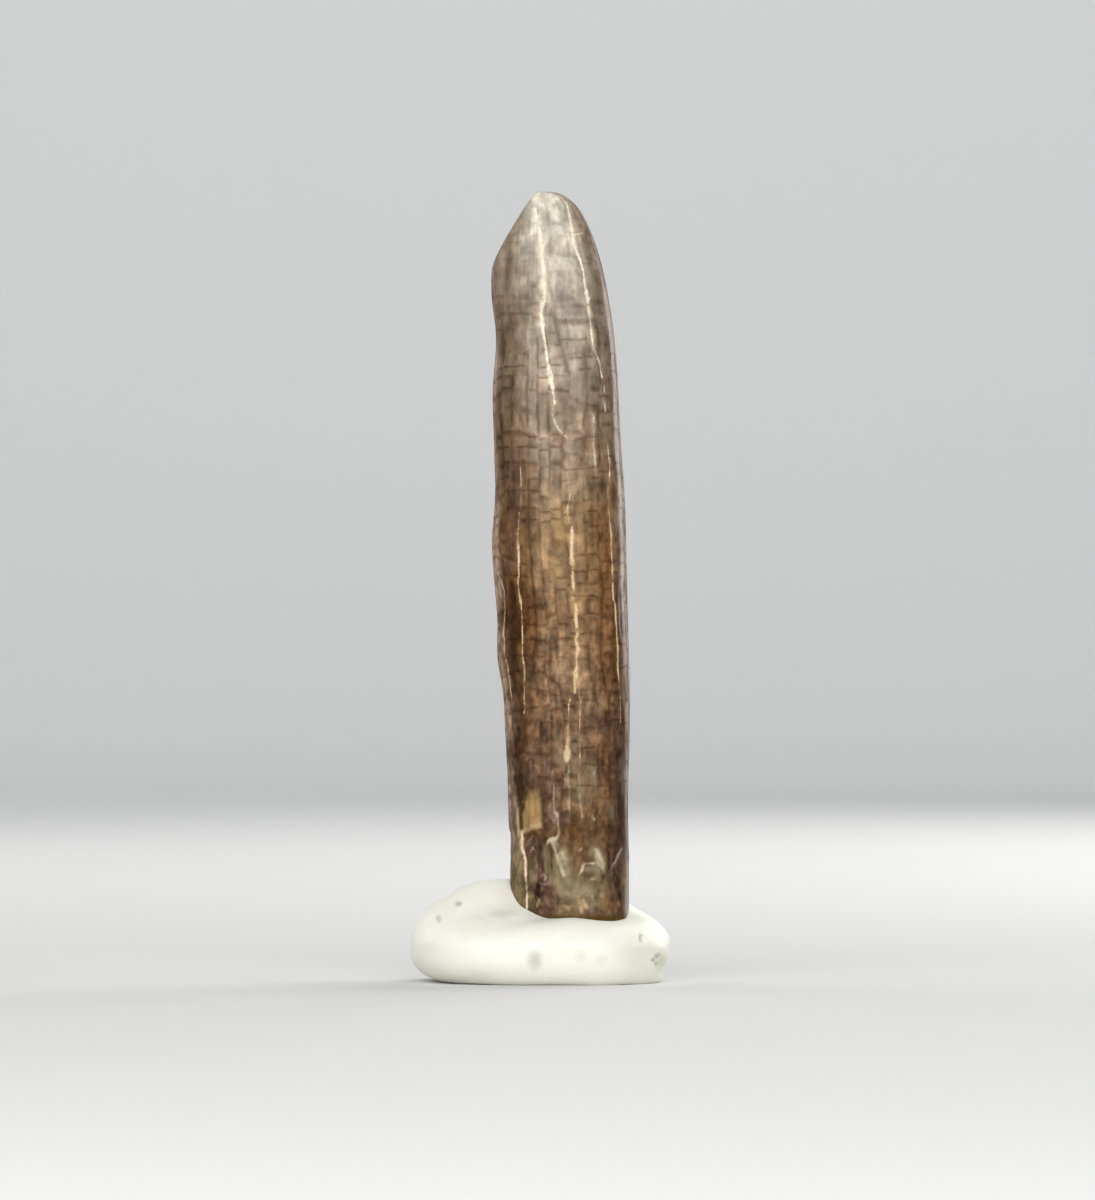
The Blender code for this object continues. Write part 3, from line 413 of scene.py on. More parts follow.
RUST_STAINS = (
    (0.5, 0.5, ((3.42, 26.8), (3.77, 24.5), (3.89, 21.6), (3.89, 16.9))),
    (0.4, 0.5, ((-0.7, 22.2), (-0.64, 19.3))), (0.5, 0.6, ((3.83, 14.3), (4.12, 11.1))),
    (0.7, 0.28, ((3.8, 4.6), (4.42, 4.34))), (0.5, 0.33, ((1.83, 8.97), (2.35, 8.56), (2.04, 8.25))),
)
DARK_STAINS = (
    (0.7, 0.5, ((-1.62, 22.7), (-1.54, 19.3), (-1.5, 16.8))), (0.35, 0.5, ((-1.46, 15.6), (-1.33, 11.4))),
    (0.5, 0.4, ((-0.87, 22.7), (-0.64, 18.1))),
    (0.6, 0.5, ((4.58, 22.2), (4.7, 16.4), (4.76, 10.6), (4.58, 7.1))),
    (0.8, 0.5, ((4.55, 13.0), (4.7, 10.0), (4.72, 7.0), (4.68, 4.0))),
    (0.7, 0.34, ((2.15, 44.3), (2.55, 43.2), (2.9, 41.9), (3.15, 40.6))),
    (0.5, 0.28, ((3.3, 39.6), (3.42, 38.0), (3.45, 36.5))),
    (0.5, 0.3, ((-1.75, 43.0), (-1.85, 41.6), (-1.95, 40.2))),
    (0.5, 0.5, ((2.0, 9.2), (3.0, 8.8), (3.7, 8.8))), (0.25, 0.45, ((1.72, 33.8), (1.72, 31.2))),
)
PURPLE_STAINS = (
    (0.5, 0.5, ((-1.62, 30.3), (-1.62, 24.5))), (0.5, 0.6, ((3.31, 43.6), (3.77, 39.6), (4.12, 33.8))),
    (0.5, 0.7, ((4.47, 15.2), (4.47, 9.4), (4.35, 5.9))), (0.35, 0.6, ((0.58, 12.3), (0.87, 9.4))),
)
PALE_PATCHES = (
    (0.5, 0.42, ((0.35, 31.3), (0.45, 29.6))), (0.4, 0.4, ((1.5, 31.0), (1.55, 29.7))),
    (0.3, 0.35, ((-0.75, 30.6), (-0.7, 29.6))), (0.35, 0.4, ((1.0, 18.8), (0.9, 16.6))),
    (0.3, 0.32, ((-0.45, 14.8), (-0.4, 13.4))), (0.3, 0.35, ((0.25, 25.6), (0.2, 24.2))),
    (0.3, 0.45, ((0.3, 17.2), (0.2, 14.9), (0.15, 12.6))), (0.12, 0.5, ((-0.6, 34.0), (-0.6, 31.0))),
)

# The marks on its sides and back: a strength, then points of the turn from the front, in degrees, and
# the height. Before the points of broad ones stands their half width.
SIDE_VEINS = (
    (0.9, ((-150, 10), (-151, 15), (-156, 21), (-158, 26), (-154, 31), (-150, 34))),
    (0.8, ((-106, 6), (-104, 9), (-107, 14), (-110, 20), (-106, 25), (-103, 30), (-105, 36))),
    (0.9, ((97, 10), (95, 13), (98, 18), (101, 22), (97, 28), (94, 33), (93, 36))),
    (0.7, ((133, 5), (137, 10), (133, 14), (130, 18), (133, 23))), (1.0, ((130, 32), (126, 38), (128, 43))),
    (0.9, ((169, 15), (172, 20), (167, 26), (166, 31), (170, 36), (172, 41))),
)
SIDE_STAINS = (
    (0.9, 0.6, ((78, 44.6), (80, 43.0), (84, 41.6))), (0.6, 0.9, ((150, 12), (146, 20))),
    (0.5, 0.7, ((190, 30), (186, 24), (192, 20))), (0.6, 0.8, ((-120, 12), (-124, 19))),
    (0.5, 0.8, ((112, 26), (110, 31))), (0.5, 0.6, ((-140, 36), (-138, 40))),
    (0.5, 0.7, ((205, 9), (202, 14))),
)
LEFT_FLANK_SHEEN = (  # a painted reflection: the paler strip down the left flank
    (1.0, 1.2, ((-84, 26.6), (-82, 25.0), (-84, 22.5))),
    (0.75, 1.2, ((-84, 20.0), (-80, 17.0), (-80, 14.5))), (0.5, 1.2, ((-80, 12.0), (-80, 8.5))),
    (0.6, 0.9, ((-84, 36.0), (-84, 29.0))),
)
RIGHT_FLANK_SHEEN = (  # a painted highlight: the greyer strip down the right flank, lit by the lights at the right
    (0.95, 1.05, ((81, 39.0), (79, 36.0), (79, 24.0), (81, 18.0), (83, 14.0), (86, 10.0), (87, 4.0))),
)
CRACKLE_ARC, CRACKLE_STEP, CRACKLE_TOP = (62, 292), 11, 43  # in degrees, degrees and millimetres
CRACKLE_SEED, VEIN_SEED = 11, 5
STUBS = (-7, -4, 5, 8)  # how far round the tooth a vein's side branches reach, in degrees

# The ragged lower edge of the enamel: turn and height.
ENAMEL_MARGIN = (
    (-180, 7.6), (-145, 8.8), (-115, 7.4), (-85, 9.6), (-60, 8.3), (-42, 8.6), (-24, 7.7), (-16, 7.9),
    (-10, 6.8), (-4, 5.9), (6, 5.6), (14, 6.2), (21, 6.8), (31, 6.6), (39, 6.2), (46, 7.0), (58, 7.8),
    (85, 6.9), (115, 8.3), (150, 6.9), (180, 7.6),
)
MARGIN_BLEND = 0.45  # height over which the enamel ends

# Flats ground on the tip in life: a point of the flat, the way it faces, and how far it is hollowed.
TIP_FACETS = (
    ((-1.66, -0.4, 43.74), (-0.85, 0.18, 0.5), 0.12), ((1.98, 0.84, 45.04), (0.62, 0.34, 0.71), 0.05),
)
FACET_ROUNDING, HOLLOW_RUN = 0.06, 0.5

SKIN_RADIUS = 3.7  # the skin is unrolled round this radius
SKIN_WAVES = ((0.035, 1.8, 1.5), (0.006, 0.5, 7.0), (0.004, 0.25, 1.0))  # height, size, times as tall
ROOT_WAVES = ((0.05, 0.7, 1.5), (0.008, 0.25, 1.0))
VEIN_DEPTH, CRACK_DEPTH, CHIP_DEPTH, ENAMEL_THICKNESS = 0.03, 0.025, 0.08, 0.12
SMOOTH_TURN, SMOOTH_REACH, SMOOTH_SHARE = 88, 32, 0.85  # in degrees, and how much smoother the skin is

skin = points_of(tooth)
up = skin[:, 2]
middle_x, middle_y, half_x, half_y = section(up)
turn = np.arctan2((skin[:, 0] - middle_x) / half_x, (middle_y - skin[:, 1]) / half_y)
across = turn * SKIN_RADIUS


def on_front(points):
    """Points drawn on the front view, laid on the unrolled skin: the arc from the front, and up."""
    x, height = np.array(points, float).T
    centre, _, half_width, _ = section(height)
    return np.column_stack((np.arcsin(np.clip((x - centre) / half_width, -0.99, 0.99)) * SKIN_RADIUS, height))


def by_turn(points):
    """Points given as a turn from the front and a height, laid on the unrolled skin."""
    degrees, height = np.array(points, float).T
    return np.column_stack((np.radians(degrees) * SKIN_RADIUS, height))


def wander(size, tallness=1.0, shift=0.0):
    """Smooth noise from about -1 to 1 at every vertex, with lumps of a size and so many times as tall."""
    squeezed = skin / np.array((size, size, size * tallness)) + shift
    return np.array([noise.noise(Vector(place)) for place in squeezed])


def even(strokes):
    """Strokes of one half width each, with it written out at every point."""
    return [
        (strength, [(*point, half_width) for point in points]) for strength, half_width, points in strokes
    ]


def drawn(strokes, lay, ragged, edge):
    """How strongly a set of strokes marks each vertex, from 0 to 1. Where strokes cross they add up.

    The edge is 0.2 for a crisp stroke, 1 for a soft one and 2 for a smudge.
    """
    girth = 2 * math.pi * SKIN_RADIUS
    clear = np.ones(len(skin))
    for strength, points in strokes:
        laid = lay([point[:2] for point in points])
        half_widths = np.array([point[2] for point in points])
        reach = (1.5 + 1.5 * edge) * half_widths.max()
        near = np.flatnonzero((up > laid[:, 1].min() - reach) & (up < laid[:, 1].max() + reach))
        nearest = np.full(len(near), np.inf)
        for place, (start, end) in enumerate(zip(laid, laid[1:])):
            run = end - start
            aside = (across[near] - start[0] + girth / 2) % girth - girth / 2
            above = up[near] - start[1]
            share = np.clip((aside * run[0] + above * run[1]) / (run @ run), 0, 1)
            away = np.hypot(aside - share * run[0], above - share * run[1])
            wide = half_widths[place] + share * (half_widths[place + 1] - half_widths[place])
            nearest = np.minimum(nearest, away / (wide * ragged[near]))
        clear[near] *= 1 - strength / (1 + np.exp(4 * (np.minimum(nearest, 9) - 1) / edge))
    return 1 - clear


def crackle(dice):
    """Short broken cracks down and across the part of the skin that the tables don't cover."""
    strokes = []
    first, last = CRACKLE_ARC
    for step in range(int((last - first) / CRACKLE_STEP)):
        at = first + CRACKLE_STEP * step + dice.uniform(-3, 3)
        height = dice.uniform(3, 8)
        while height < CRACKLE_TOP:
            length = dice.uniform(1.0, 4.5)
            lean = dice.uniform(-3, 3)
            middle = (at + lean, height + length / 2)
            line = ((at, height), middle, (at + dice.uniform(-3, 3), height + length))
            strokes.append((dice.uniform(0.3, 0.7), dice.uniform(0.08, 0.14), line))
            height += length + dice.uniform(0.3, 2.5)
    height = 4.0
    while height < CRACKLE_TOP + 1.5:
        for _ in range(3):
            at, length = dice.uniform(first, last), dice.uniform(10, 38)
            line = ((at, height), (at + length / 2, height + dice.uniform(-0.2, 0.2)), (at + length, height))
            strokes.append((dice.uniform(0.35, 0.65), dice.uniform(0.08, 0.11), line))
            height += dice.uniform(0.15, 0.45)
    return even(strokes)


def broken_veins(dice):
    """The side veins as short pieces that wander, swell into knots and send out a few stubs."""
    pieces = []
    for strength, line in SIDE_VEINS:
        turns, heights = zip(*line)
        height = heights[0]
        while height < heights[-1]:
            last = min(height + dice.uniform(1.2, 4.5), heights[-1])
            aside, piece = dice.uniform(-1.5, 1.5), []
            for at in np.arange(height, last + 0.3, 0.5):
                aside = 0.75 * aside + dice.uniform(-1.3, 1.3)
                half_width = dice.choice((0.05, 0.06, 0.08, 0.10, 0.15))
                piece.append((np.interp(at, heights, turns) + aside, at, half_width))
            pieces.append((strength * dice.uniform(0.7, 1.0), piece))
            if dice.random() < 0.35:
                start = piece[len(piece) // 2]
                reach = dice.choice(STUBS)
                pieces.append((0.7, (start, (start[0] + reach, start[1] + dice.uniform(-0.3, 0.3), 0.05))))
            height = last + dice.uniform(-0.2, 0.9)
    return pieces


def ground(points, through, facing, hollow):
    """Grinds away what stands beyond a slightly hollow flat."""
    normal = np.array(facing) / np.linalg.norm(facing)
    beyond = (points - through) @ normal
    taken = FACET_ROUNDING * np.logaddexp(0, beyond / FACET_ROUNDING)
    taken += hollow * (1 - np.exp(-np.maximum(beyond, 0) / HOLLOW_RUN))
    return points - np.outer(taken, normal)


def remember(name, values):
    """Stores a number at every vertex of the tooth, for its material to read by name."""
    tooth.data.attributes.new(name, "FLOAT", "POINT").data.foreach_set("value", values)


# How the strokes' widths and strengths wander along the skin.
beads = 1 + 0.35 * wander(0.5) + 0.25 * wander(0.2)
crumbs = 0.4 + 0.6 * beads
smudges = 1 + 0.4 * wander(0.9)
blots = 1 + 0.35 * wander(1.6, shift=5.0)
flakes = 1 + 0.12 * wander(0.6) + 0.06 * wander(0.2)
worn = np.clip(0.75 + 0.7 * wander(0.8, 1.4, 3.0), 0.15, 1.1)
faded = np.clip(0.95 + 0.5 * wander(0.6, 1.5, 7.0) + 0.3 * wander(0.25, 1.0, 9.0), 0.35, 1)

side_veins = drawn(broken_veins(random.Random(VEIN_SEED)), by_turn, beads, 1.0)
side_cracks = drawn(crackle(random.Random(CRACKLE_SEED)), by_turn, smudges, 1.8)
vein = np.maximum(drawn(VEINS, on_front, beads, 1.0), side_veins) * faded
crack = np.maximum(drawn(even(CRACKS_DOWN + CRACKS_ACROSS), on_front, smudges, 1.8), side_cracks) * worn
side_dark = drawn(even(SIDE_STAINS), by_turn, blots, 1.8)
dark = np.maximum(drawn(even(DARK_STAINS), on_front, blots, 1.5), side_dark)
chip = drawn(CHIP, on_front, flakes, 0.25)
(margin,) = on_curve(ENAMEL_MARGIN, np.degrees(turn)).T
bare = np.clip((margin + 0.45 * wander(1.2) + 0.3 * wander(0.45) - up) / MARGIN_BLEND, 0, 1)
for name, values in (
    ("front", np.cos(turn)),
    ("side", np.sin(turn)),
    ("vein", vein),
    ("crack", crack),
    ("dark", dark),
    ("bare", bare),
    ("chip", chip),
):
    remember(name, values)
for name, strokes, lay, ragged, edge in (
    ("glow", VEINS, on_front, 2.2 * beads, 1.8),
    ("pale", TAN_MARKS, on_front, crumbs, 1.5),
    ("rose_glint", ROSE_GLINTS, on_front, crumbs, 1.3),
    ("sand", SAND_MARKS, on_front, flakes, 1.4),
    ("olive", OLIVE_PATCHES, on_front, smudges, 1.7),
    ("golden", GOLDEN_MARKS, on_front, flakes, 1.1),
    ("left_sheen", even(LEFT_FLANK_SHEEN), by_turn, blots, 0.8),
    ("right_sheen", even(RIGHT_FLANK_SHEEN), by_turn, blots, 0.55),
    ("ochre", OCHRE_STAINS, on_front, flakes, 1.3),
    ("tawny", even(SOFT_OCHRE), on_front, flakes, 0.8),
    ("rust", even(RUST_STAINS), on_front, blots, 1.5),
    ("spots", DARK_SPOTS, on_front, smudges, 1.4),
    ("patches", even(PALE_PATCHES), on_front, blots, 1.2),
    ("purple", [*even(PURPLE_STAINS), *MAUVE_PATCHES], on_front, blots, 1.2),
):
    remember(name, drawn(strokes, lay, ragged, edge))

# Its relief: a slightly uneven skin, sunken cracks, the bare root and the chip. Then the worn tip.
outwards = np.empty(len(skin) * 3)
tooth.data.vertex_normals.foreach_get("vector", outwards)
outwards = outwards.reshape(-1, 3)
calm = 1 - SMOOTH_SHARE * np.exp(-(((np.degrees(turn) - SMOOTH_TURN) / SMOOTH_REACH) ** 2))
relief = calm * sum(high * wander(size, tallness) for high, size, tallness in SKIN_WAVES)
relief -= VEIN_DEPTH * vein + CRACK_DEPTH * crack
root_relief = sum(high * wander(size, tallness) for high, size, tallness in ROOT_WAVES) - ENAMEL_THICKNESS
relief += calm * bare * root_relief
relief -= CHIP_DEPTH * chip
skin = skin + outwards * relief[:, None]
for through, facing, hollow in TIP_FACETS:
    skin = ground(skin, through, facing, hollow)
move_points(tooth, skin)


def seat(thing, node):
    """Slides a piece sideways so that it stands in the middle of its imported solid."""
    low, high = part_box(node)
    points = points_of(thing)
    centre = (points.min(axis=0) + points.max(axis=0)) / 2
    packed = (np.array(low) + np.array(high)) / 2 / MM
    points[:, :2] += (packed - centre)[:2]
    move_points(thing, points)


seat(tooth, "tooth")

# Its colours, from 0 to 255, and its tints, which multiply a colour.
TOOTH_TONES = (  # height, colour
    (2.5, (100, 78, 52)), (7.0, (104, 80, 56)), (10.0, (106, 82, 58)), (14.0, (114, 90, 69)),
    (18.0, (129, 103, 78)), (22.0, (134, 106, 76)), (26.0, (138, 111, 80)), (30.0, (143, 124, 103)),
    (34.0, (153, 138, 121)), (38.0, (169, 157, 141)), (42.0, (189, 181, 166)), (45.5, (209, 203, 188)),
)
TONES_TOP, TONES_WAVER = 46.0, 5.0
VEIN_CREAM, VEIN_TAN, VEIN_PINK = (236, 226, 204), (216, 188, 146), (236, 212, 186)
OCHRE, RUST, PURPLE, PALE = (174, 142, 94), (128, 84, 50), (104, 82, 73), (202, 186, 156)
ROSE_GLINT, SAND, OLIVE, GOLDEN = (154, 128, 114), (186, 158, 122), (150, 138, 110), (82, 58, 22)
# The first two are painted reflections: a pale strip down the left flank and a grey one down the right.
LEFT_SHEEN_COLOUR, RIGHT_SHEEN_COLOUR, CHIP_BROWN, CHIP_PURPLE = (190, 166, 144), (176, 166, 158), (82, 60, 44), (104, 80, 66)
ROOT_OLIVE, ROOT_RED, CONTACT_GOLD_SHADE = (114, 98, 70), (104, 80, 60), (82, 62, 22)
# The flank tints are painted shade, partly the enamel's own darker flanks.
FLANK_SHADE_TINT, CROWN_FLANK_SHADE_TINT = (0.50, 0.41, 0.32, 1.0), (0.54, 0.47, 0.41, 1.0)
STAIN_TINT, SPOT_TINT = (0.45, 0.38, 0.34, 1.0), (0.36, 0.28, 0.24, 1.0)
CRACK_TINT, GLOW_TINT, PATCH_TINT = (0.38, 0.28, 0.20, 1.0), (1.35, 1.33, 1.3, 1.0), (2.1, 2.15, 2.3, 1.0)
BLOCK_COLUMNS, BLOCK_HEIGHT, BLOCK_DRIFT, BLOCK_CONTRAST = 25, 0.95, 2.4, 0.38
GRAIN_DEPTH = 0.03  # of the fine relief, which is in the shaders only


def tone(colour):
    """A colour from 0 to 255, as a screen shows it, in the linear numbers that a shader wants."""
    linear = [c / 255 / 12.92 if c / 255 <= 0.04045 else ((c / 255 + 0.055) / 1.055) ** 2.4 for c in colour]
    return (*linear, 1.0)


def paint(name):
    """A new material, with its node tree and its shader."""
    material = bpy.data.materials.new(name)
    material.use_nodes = True
    tree = material.node_tree
    return material, tree, tree.nodes["Principled BSDF"]


# What follows adds nodes to the material that is being painted, in the tree called tree.


def node(kind, *inputs, **settings):
    """Adds a shader node. The inputs are numbers, colours or sockets, in the node's order."""
    made = tree.nodes.new(kind)
    for name, value in settings.items():
        setattr(made, name, value)
    for socket, value in zip([s for s in made.inputs if s.enabled], inputs):
        if isinstance(value, bpy.types.NodeSocket):
            tree.links.new(value, socket)
        else:
            socket.default_value = value
    return next(s for s in made.outputs if s.enabled)


def preset(made, **values):
    """Sets inputs of a shader node. Their names have _ in the place of a space."""
    for name, value in values.items():
        made.inputs[name.replace("_", " ")].default_value = value


def sums(operation, *values):
    """A sum of numbers, such as ADD or MULTIPLY_ADD."""
    return node("ShaderNodeMath", *values, operation=operation)


def times(first, second):
    return sums("MULTIPLY", first, second)


def spread(value, start, end, low=0.0, high=1.0):
    """Maps a span of values smoothly onto another."""
    return node("ShaderNodeMapRange", value, start, end, low, high, interpolation_type="SMOOTHSTEP")


def mixed(share, first, second, way="MIX"):
    """The first colour with a share of the second over it."""
    made = tree.nodes.new("ShaderNodeMix")
    made.data_type, made.blend_type = "RGBA", way
    for name, value in (("Factor_Float", share), ("A_Color", first), ("B_Color", second)):
        socket = next(s for s in made.inputs if s.identifier == name)
        if isinstance(value, bpy.types.NodeSocket):
            tree.links.new(value, socket)
        else:
            socket.default_value = value
    return next(s for s in made.outputs if s.identifier == "Result_Color")


def tinted(colour, tint, share=1.0):
    """A colour multiplied by another, or by a number."""
    return mixed(share, colour, tint, "MULTIPLY")


def stretched(place, x, y, z):
    """Coordinates with each axis multiplied, so that a pattern on them is squeezed or drawn out."""
    return node("ShaderNodeVectorMath", place, (x, y, z), operation="MULTIPLY")


def cloud(place, size, detail=2.0):
    """Noise from about 0.25 to 0.75, whose lumps have a size on the given coordinates."""
    return node("ShaderNodeTexNoise", place, 1 / size, detail)


def clouded(place, size, detail, start, end, low=0.0, high=1.0):
    """Noise with the span from start to end mapped smoothly onto the one from low to high."""
    return spread(cloud(place, size, detail), start, end, low, high)


def marks(name):
    """The number that was stored at each vertex under a name."""
    made = tree.nodes.new("ShaderNodeAttribute")
    made.attribute_name = name
    return made.outputs["Fac"]


def split(place):
    """The x, y and z of coordinates."""
    made = tree.nodes.new("ShaderNodeSeparateXYZ")
    tree.links.new(place, made.inputs[0])
    return made.outputs


def millimetres():
    """The piece's own coordinates in millimetres."""
    made = tree.nodes.new("ShaderNodeTexCoord")
    return stretched(made.outputs["Object"], 1000, 1000, 1000)


def roughen(shader, raised, strength):
    """Gives a shader a fine relief, where a height of 1 stands for the grain's depth."""
    bump = tree.nodes.new("ShaderNodeBump")
    preset(bump, Strength=strength, Distance=GRAIN_DEPTH * MM)
    tree.links.new(raised, bump.inputs["Height"])
    tree.links.new(bump.outputs[0], shader.inputs["Normal"])


enamel, tree, shader = paint("enamel")
place = millimetres()
height = split(place)[2]
side, front = marks("side"), marks("front")

# Ground colour by height, with a wavering edge between the tones.
lowered = sums("ADD", height, -TONES_WAVER / 2)
wavering = sums("MULTIPLY_ADD", cloud(place, 3.0), TONES_WAVER, lowered)
ramp = tree.nodes.new("ShaderNodeValToRGB")
tree.links.new(node("ShaderNodeMapRange", wavering, 0.0, TONES_TOP, 0.0, 1.0), ramp.inputs[0])
stops = ramp.color_ramp.elements
for step, (at, colour) in enumerate(TOOTH_TONES):
    stop = stops[step] if step < 2 else stops.new(at / TONES_TOP)  # a ramp starts with two stops
    stop.position = at / TONES_TOP
    stop.color = tone(colour)

# The skin is crazed into small blocks, in columns round the tooth and in broken rows up each column.
turned = sums("ARCTAN2", side, front)
shaken = sums("MULTIPLY_ADD", cloud(place, 0.7), 0.3, -0.15)
column = times(turned, BLOCK_COLUMNS / (2 * math.pi))
for waves, sway, start in ((3.0, 0.3, 1.0), (7.0, 0.18, 2.0)):
    phase = sums("MULTIPLY_ADD", turned, waves, start)
    column = sums("MULTIPLY_ADD", sums("SINE", phase), sway, column)
drift = cloud(stretched(place, 0.25, 0.25, 0.12), 1.0, 1.0)
column = sums("ADD", sums("MULTIPLY_ADD", drift, BLOCK_DRIFT, column), shaken)
column_number = sums("FLOOR", column)
luck = node("ShaderNodeTexWhiteNoise", column_number, noise_dimensions="1D")
row = sums("MULTIPLY_ADD", luck, 0.7, sums("DIVIDE", height, BLOCK_HEIGHT))
uneven = cloud(stretched(place, 0.14, 0.14, 0.5), 1.0)
row = sums("ADD", sums("MULTIPLY_ADD", uneven, BLOCK_DRIFT, row), shaken)
block = node("ShaderNodeCombineXYZ", column_number, sums("FLOOR", row))
block_luck = tree.nodes.new("ShaderNodeTexWhiteNoise")
tree.links.new(block, block_luck.inputs["Vector"])
shade_luck, rust_luck = split(block_luck.outputs["Color"])[:2]


def from_line(value):
    """Distance from the nearest whole number, from 0 to a half."""
    return sums("ABSOLUTE", sums("SUBTRACT", value, sums("ROUND", value)))


patchy = clouded(place, 1.5, 2.0, 0.34, 0.60)
patchier = clouded(stretched(place, 1.3, 1.3, 0.9), 1.6, 2.0, 0.36, 0.58)
down_lines = times(spread(from_line(column), 0.26, 0.0), patchy)
level_lines = times(spread(from_line(row), 0.24, 0.0), patchier)
crazing = sums("MAXIMUM", down_lines, level_lines)

unworn = spread(height, 7.5, 12.5, 0.3, 1.0)  # the worn foot shows less of the pattern
lively = spread(height, 44.0, 34.0, 0.4, 1.0)  # and the tip is paler and more even
swing = times(lively, BLOCK_CONTRAST)
blocks = sums("MULTIPLY_ADD", sums("SUBTRACT", shade_luck, 0.5), swing, 1.0)
clouds = clouded(stretched(place, 1, 1, 0.45), 0.9, 5.0, 0.3, 0.7, 0.74, 1.22)
colour = tinted(ramp.outputs[0], times(blocks, clouds))
colour = mixed(spread(rust_luck, 0.6, 1.0, 0.0, 0.2), colour, tone(RUST))
grain = clouded(stretched(place, 2.2, 2.2, 0.25), 0.5, 3.0, 0.3, 0.7, 0.88, 1.1)
colour = tinted(colour, grain, unworn)
# Painted shade on the flanks, partly their own darker enamel and partly shade away from the front light.
left_flank_shade, right_flank_shade = spread(side, -0.15, -0.8), spread(side, 0.35, 0.9, 0.0, 0.85)
flank_shade_tint = mixed(spread(height, 28.0, 38.0), FLANK_SHADE_TINT, CROWN_FLANK_SHADE_TINT)
colour = tinted(colour, flank_shade_tint, sums("MAXIMUM", left_flank_shade, right_flank_shade))

# The bare root under the enamel's margin, and the chip.
root_colour = mixed(clouded(place, 1.3, 4.0, 0.4, 0.6), tone(ROOT_OLIVE), tone(ROOT_RED))
colour = mixed(marks("bare"), colour, tinted(root_colour, clouds))
chip_colour = mixed(clouded(place, 0.35, 3.0, 0.42, 0.62), tone(CHIP_BROWN), tone(CHIP_PURPLE))
colour = mixed(marks("chip"), colour, chip_colour)

# Stains, a painted reflection down the left flank, and mottling that grows stronger down the tooth.
for name, mark_colour, share in (("left_sheen", LEFT_SHEEN_COLOUR, 0.75), ("rust", RUST, 0.8), ("purple", PURPLE, 0.9)):
    colour = mixed(times(marks(name), share), colour, tone(mark_colour))
colour = tinted(colour, STAIN_TINT, marks("dark"))
for squash, size, at_tip, at_foot in ((0.55, 0.5, 0.9, 2.7), (0.8, 0.32, 0.6, 2.1)):
    mottled = sums("SUBTRACT", cloud(stretched(place, 1, 1, squash), size, 3.0), 0.5)
    mottled = times(mottled, spread(height, 40.0, 6.0, at_tip, at_foot))
    mottled = sums("MULTIPLY_ADD", mottled, spread(height, 8.0, 11.0, 0.8, 1.0), 1.0)
    colour = tinted(colour, mottled)
smeared = sums("MULTIPLY_ADD", cloud(stretched(place, 1, 1, 0.7), 0.4, 3.0), 1.2, -0.6)


def ragged_mark(name):
    """A mark whose edges are broken up by the same fine noise."""
    return spread(sums("ADD", marks(name), smeared), 0.15, 1.05)


colour = tinted(colour, PATCH_TINT, marks("patches"))
dull = times(marks("olive"), clouded(place, 0.5, 3.0, 0.3, 0.6, 0.7, 1.0))
colour = mixed(dull, colour, tone(OLIVE))
yellow = tinted(tone(OCHRE), clouded(place, 0.7, 4.0, 0.3, 0.7, 0.74, 1.18))
colour = mixed(sums("MAXIMUM", marks("ochre"), marks("tawny")), colour, yellow)
colour = mixed(ragged_mark("golden"), colour, tone(GOLDEN))
colour = tinted(colour, SPOT_TINT, ragged_mark("spots"))
# Sandy crust, pale calcite, and pinkish glints that are painted highlights.
for name, mark_colour in (("sand", SAND), ("rose_glint", ROSE_GLINT), ("pale", PALE)):
    colour = mixed(ragged_mark(name), colour, tone(mark_colour))
# A dark golden band over the putty: partly the tooth's own golden staining, partly painted shade.
low_edge = sums("MULTIPLY_ADD", cloud(place, 0.8), 0.5, height)
colour = mixed(spread(low_edge, 4.3, 4.0, 0.0, 0.85), colour, tone(CONTACT_GOLD_SHADE))

# Cracks: the fine crazing, the drawn ones that hold dirt, and the wide ones filled with cream.
crazing = times(crazing, times(unworn, times(lively, 0.7)))
cracked = sums("MAXIMUM", crazing, times(marks("crack"), unworn))
cracked = times(cracked, spread(marks("ochre"), 0.6, 0.2))
colour = tinted(colour, CRACK_TINT, cracked)
beaded = clouded(place, 0.5, 2.0, 0.3, 0.5, 0.75, 1.0)
crumbly = sums("MULTIPLY_ADD", cloud(place, 0.15), 0.8, -0.4)
filled = sums("ADD", times(marks("vein"), beaded), crumbly)
filled = spread(filled, 0.25, 0.92)
cream = mixed(spread(height, 20.0, 36.0), tone(VEIN_TAN), tone(VEIN_CREAM))
cream = mixed(spread(height, 12.0, 9.0), cream, tone(VEIN_PINK))
cream = tinted(cream, clouded(place, 0.4, 3.0, 0.3, 0.6, 0.8, 1.04))
colour = mixed(filled, tinted(colour, GLOW_TINT, marks("glow")), cream)

# The painted highlight down the right flank, which the cracks still show through.
sheen_share = clouded(stretched(place, 1, 1, 0.3), 0.55, 3.0, 0.34, 0.64, 0.3, 0.85)
sheen_share = times(sheen_share, spread(cracked, 0.1, 0.9, 1.0, 0.45))
colour = mixed(times(marks("right_sheen"), sheen_share), colour, tone(RIGHT_SHEEN_COLOUR))

tree.links.new(colour, shader.inputs["Base Color"])
preset(shader, Roughness=0.55, Specular_IOR_Level=0.0, Coat_Weight=0.15, Coat_Roughness=0.1)
raised = sums("SUBTRACT", times(grain, 0.6), cracked)
roughen(shader, times(raised, unworn), 0.4)

tooth.data.materials.append(enamel)
select_only(tooth)
bpy.ops.object.shade_smooth()
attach(tooth, "root")
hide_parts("tooth")


# --- Lump of putty ------------------------------------------------------------------------------
# A lump of white mounting putty, kneaded by hand and pressed round the tooth's foot. Its right end
# is sliced off flat with a blade, and dirt has stuck to it in a few places.

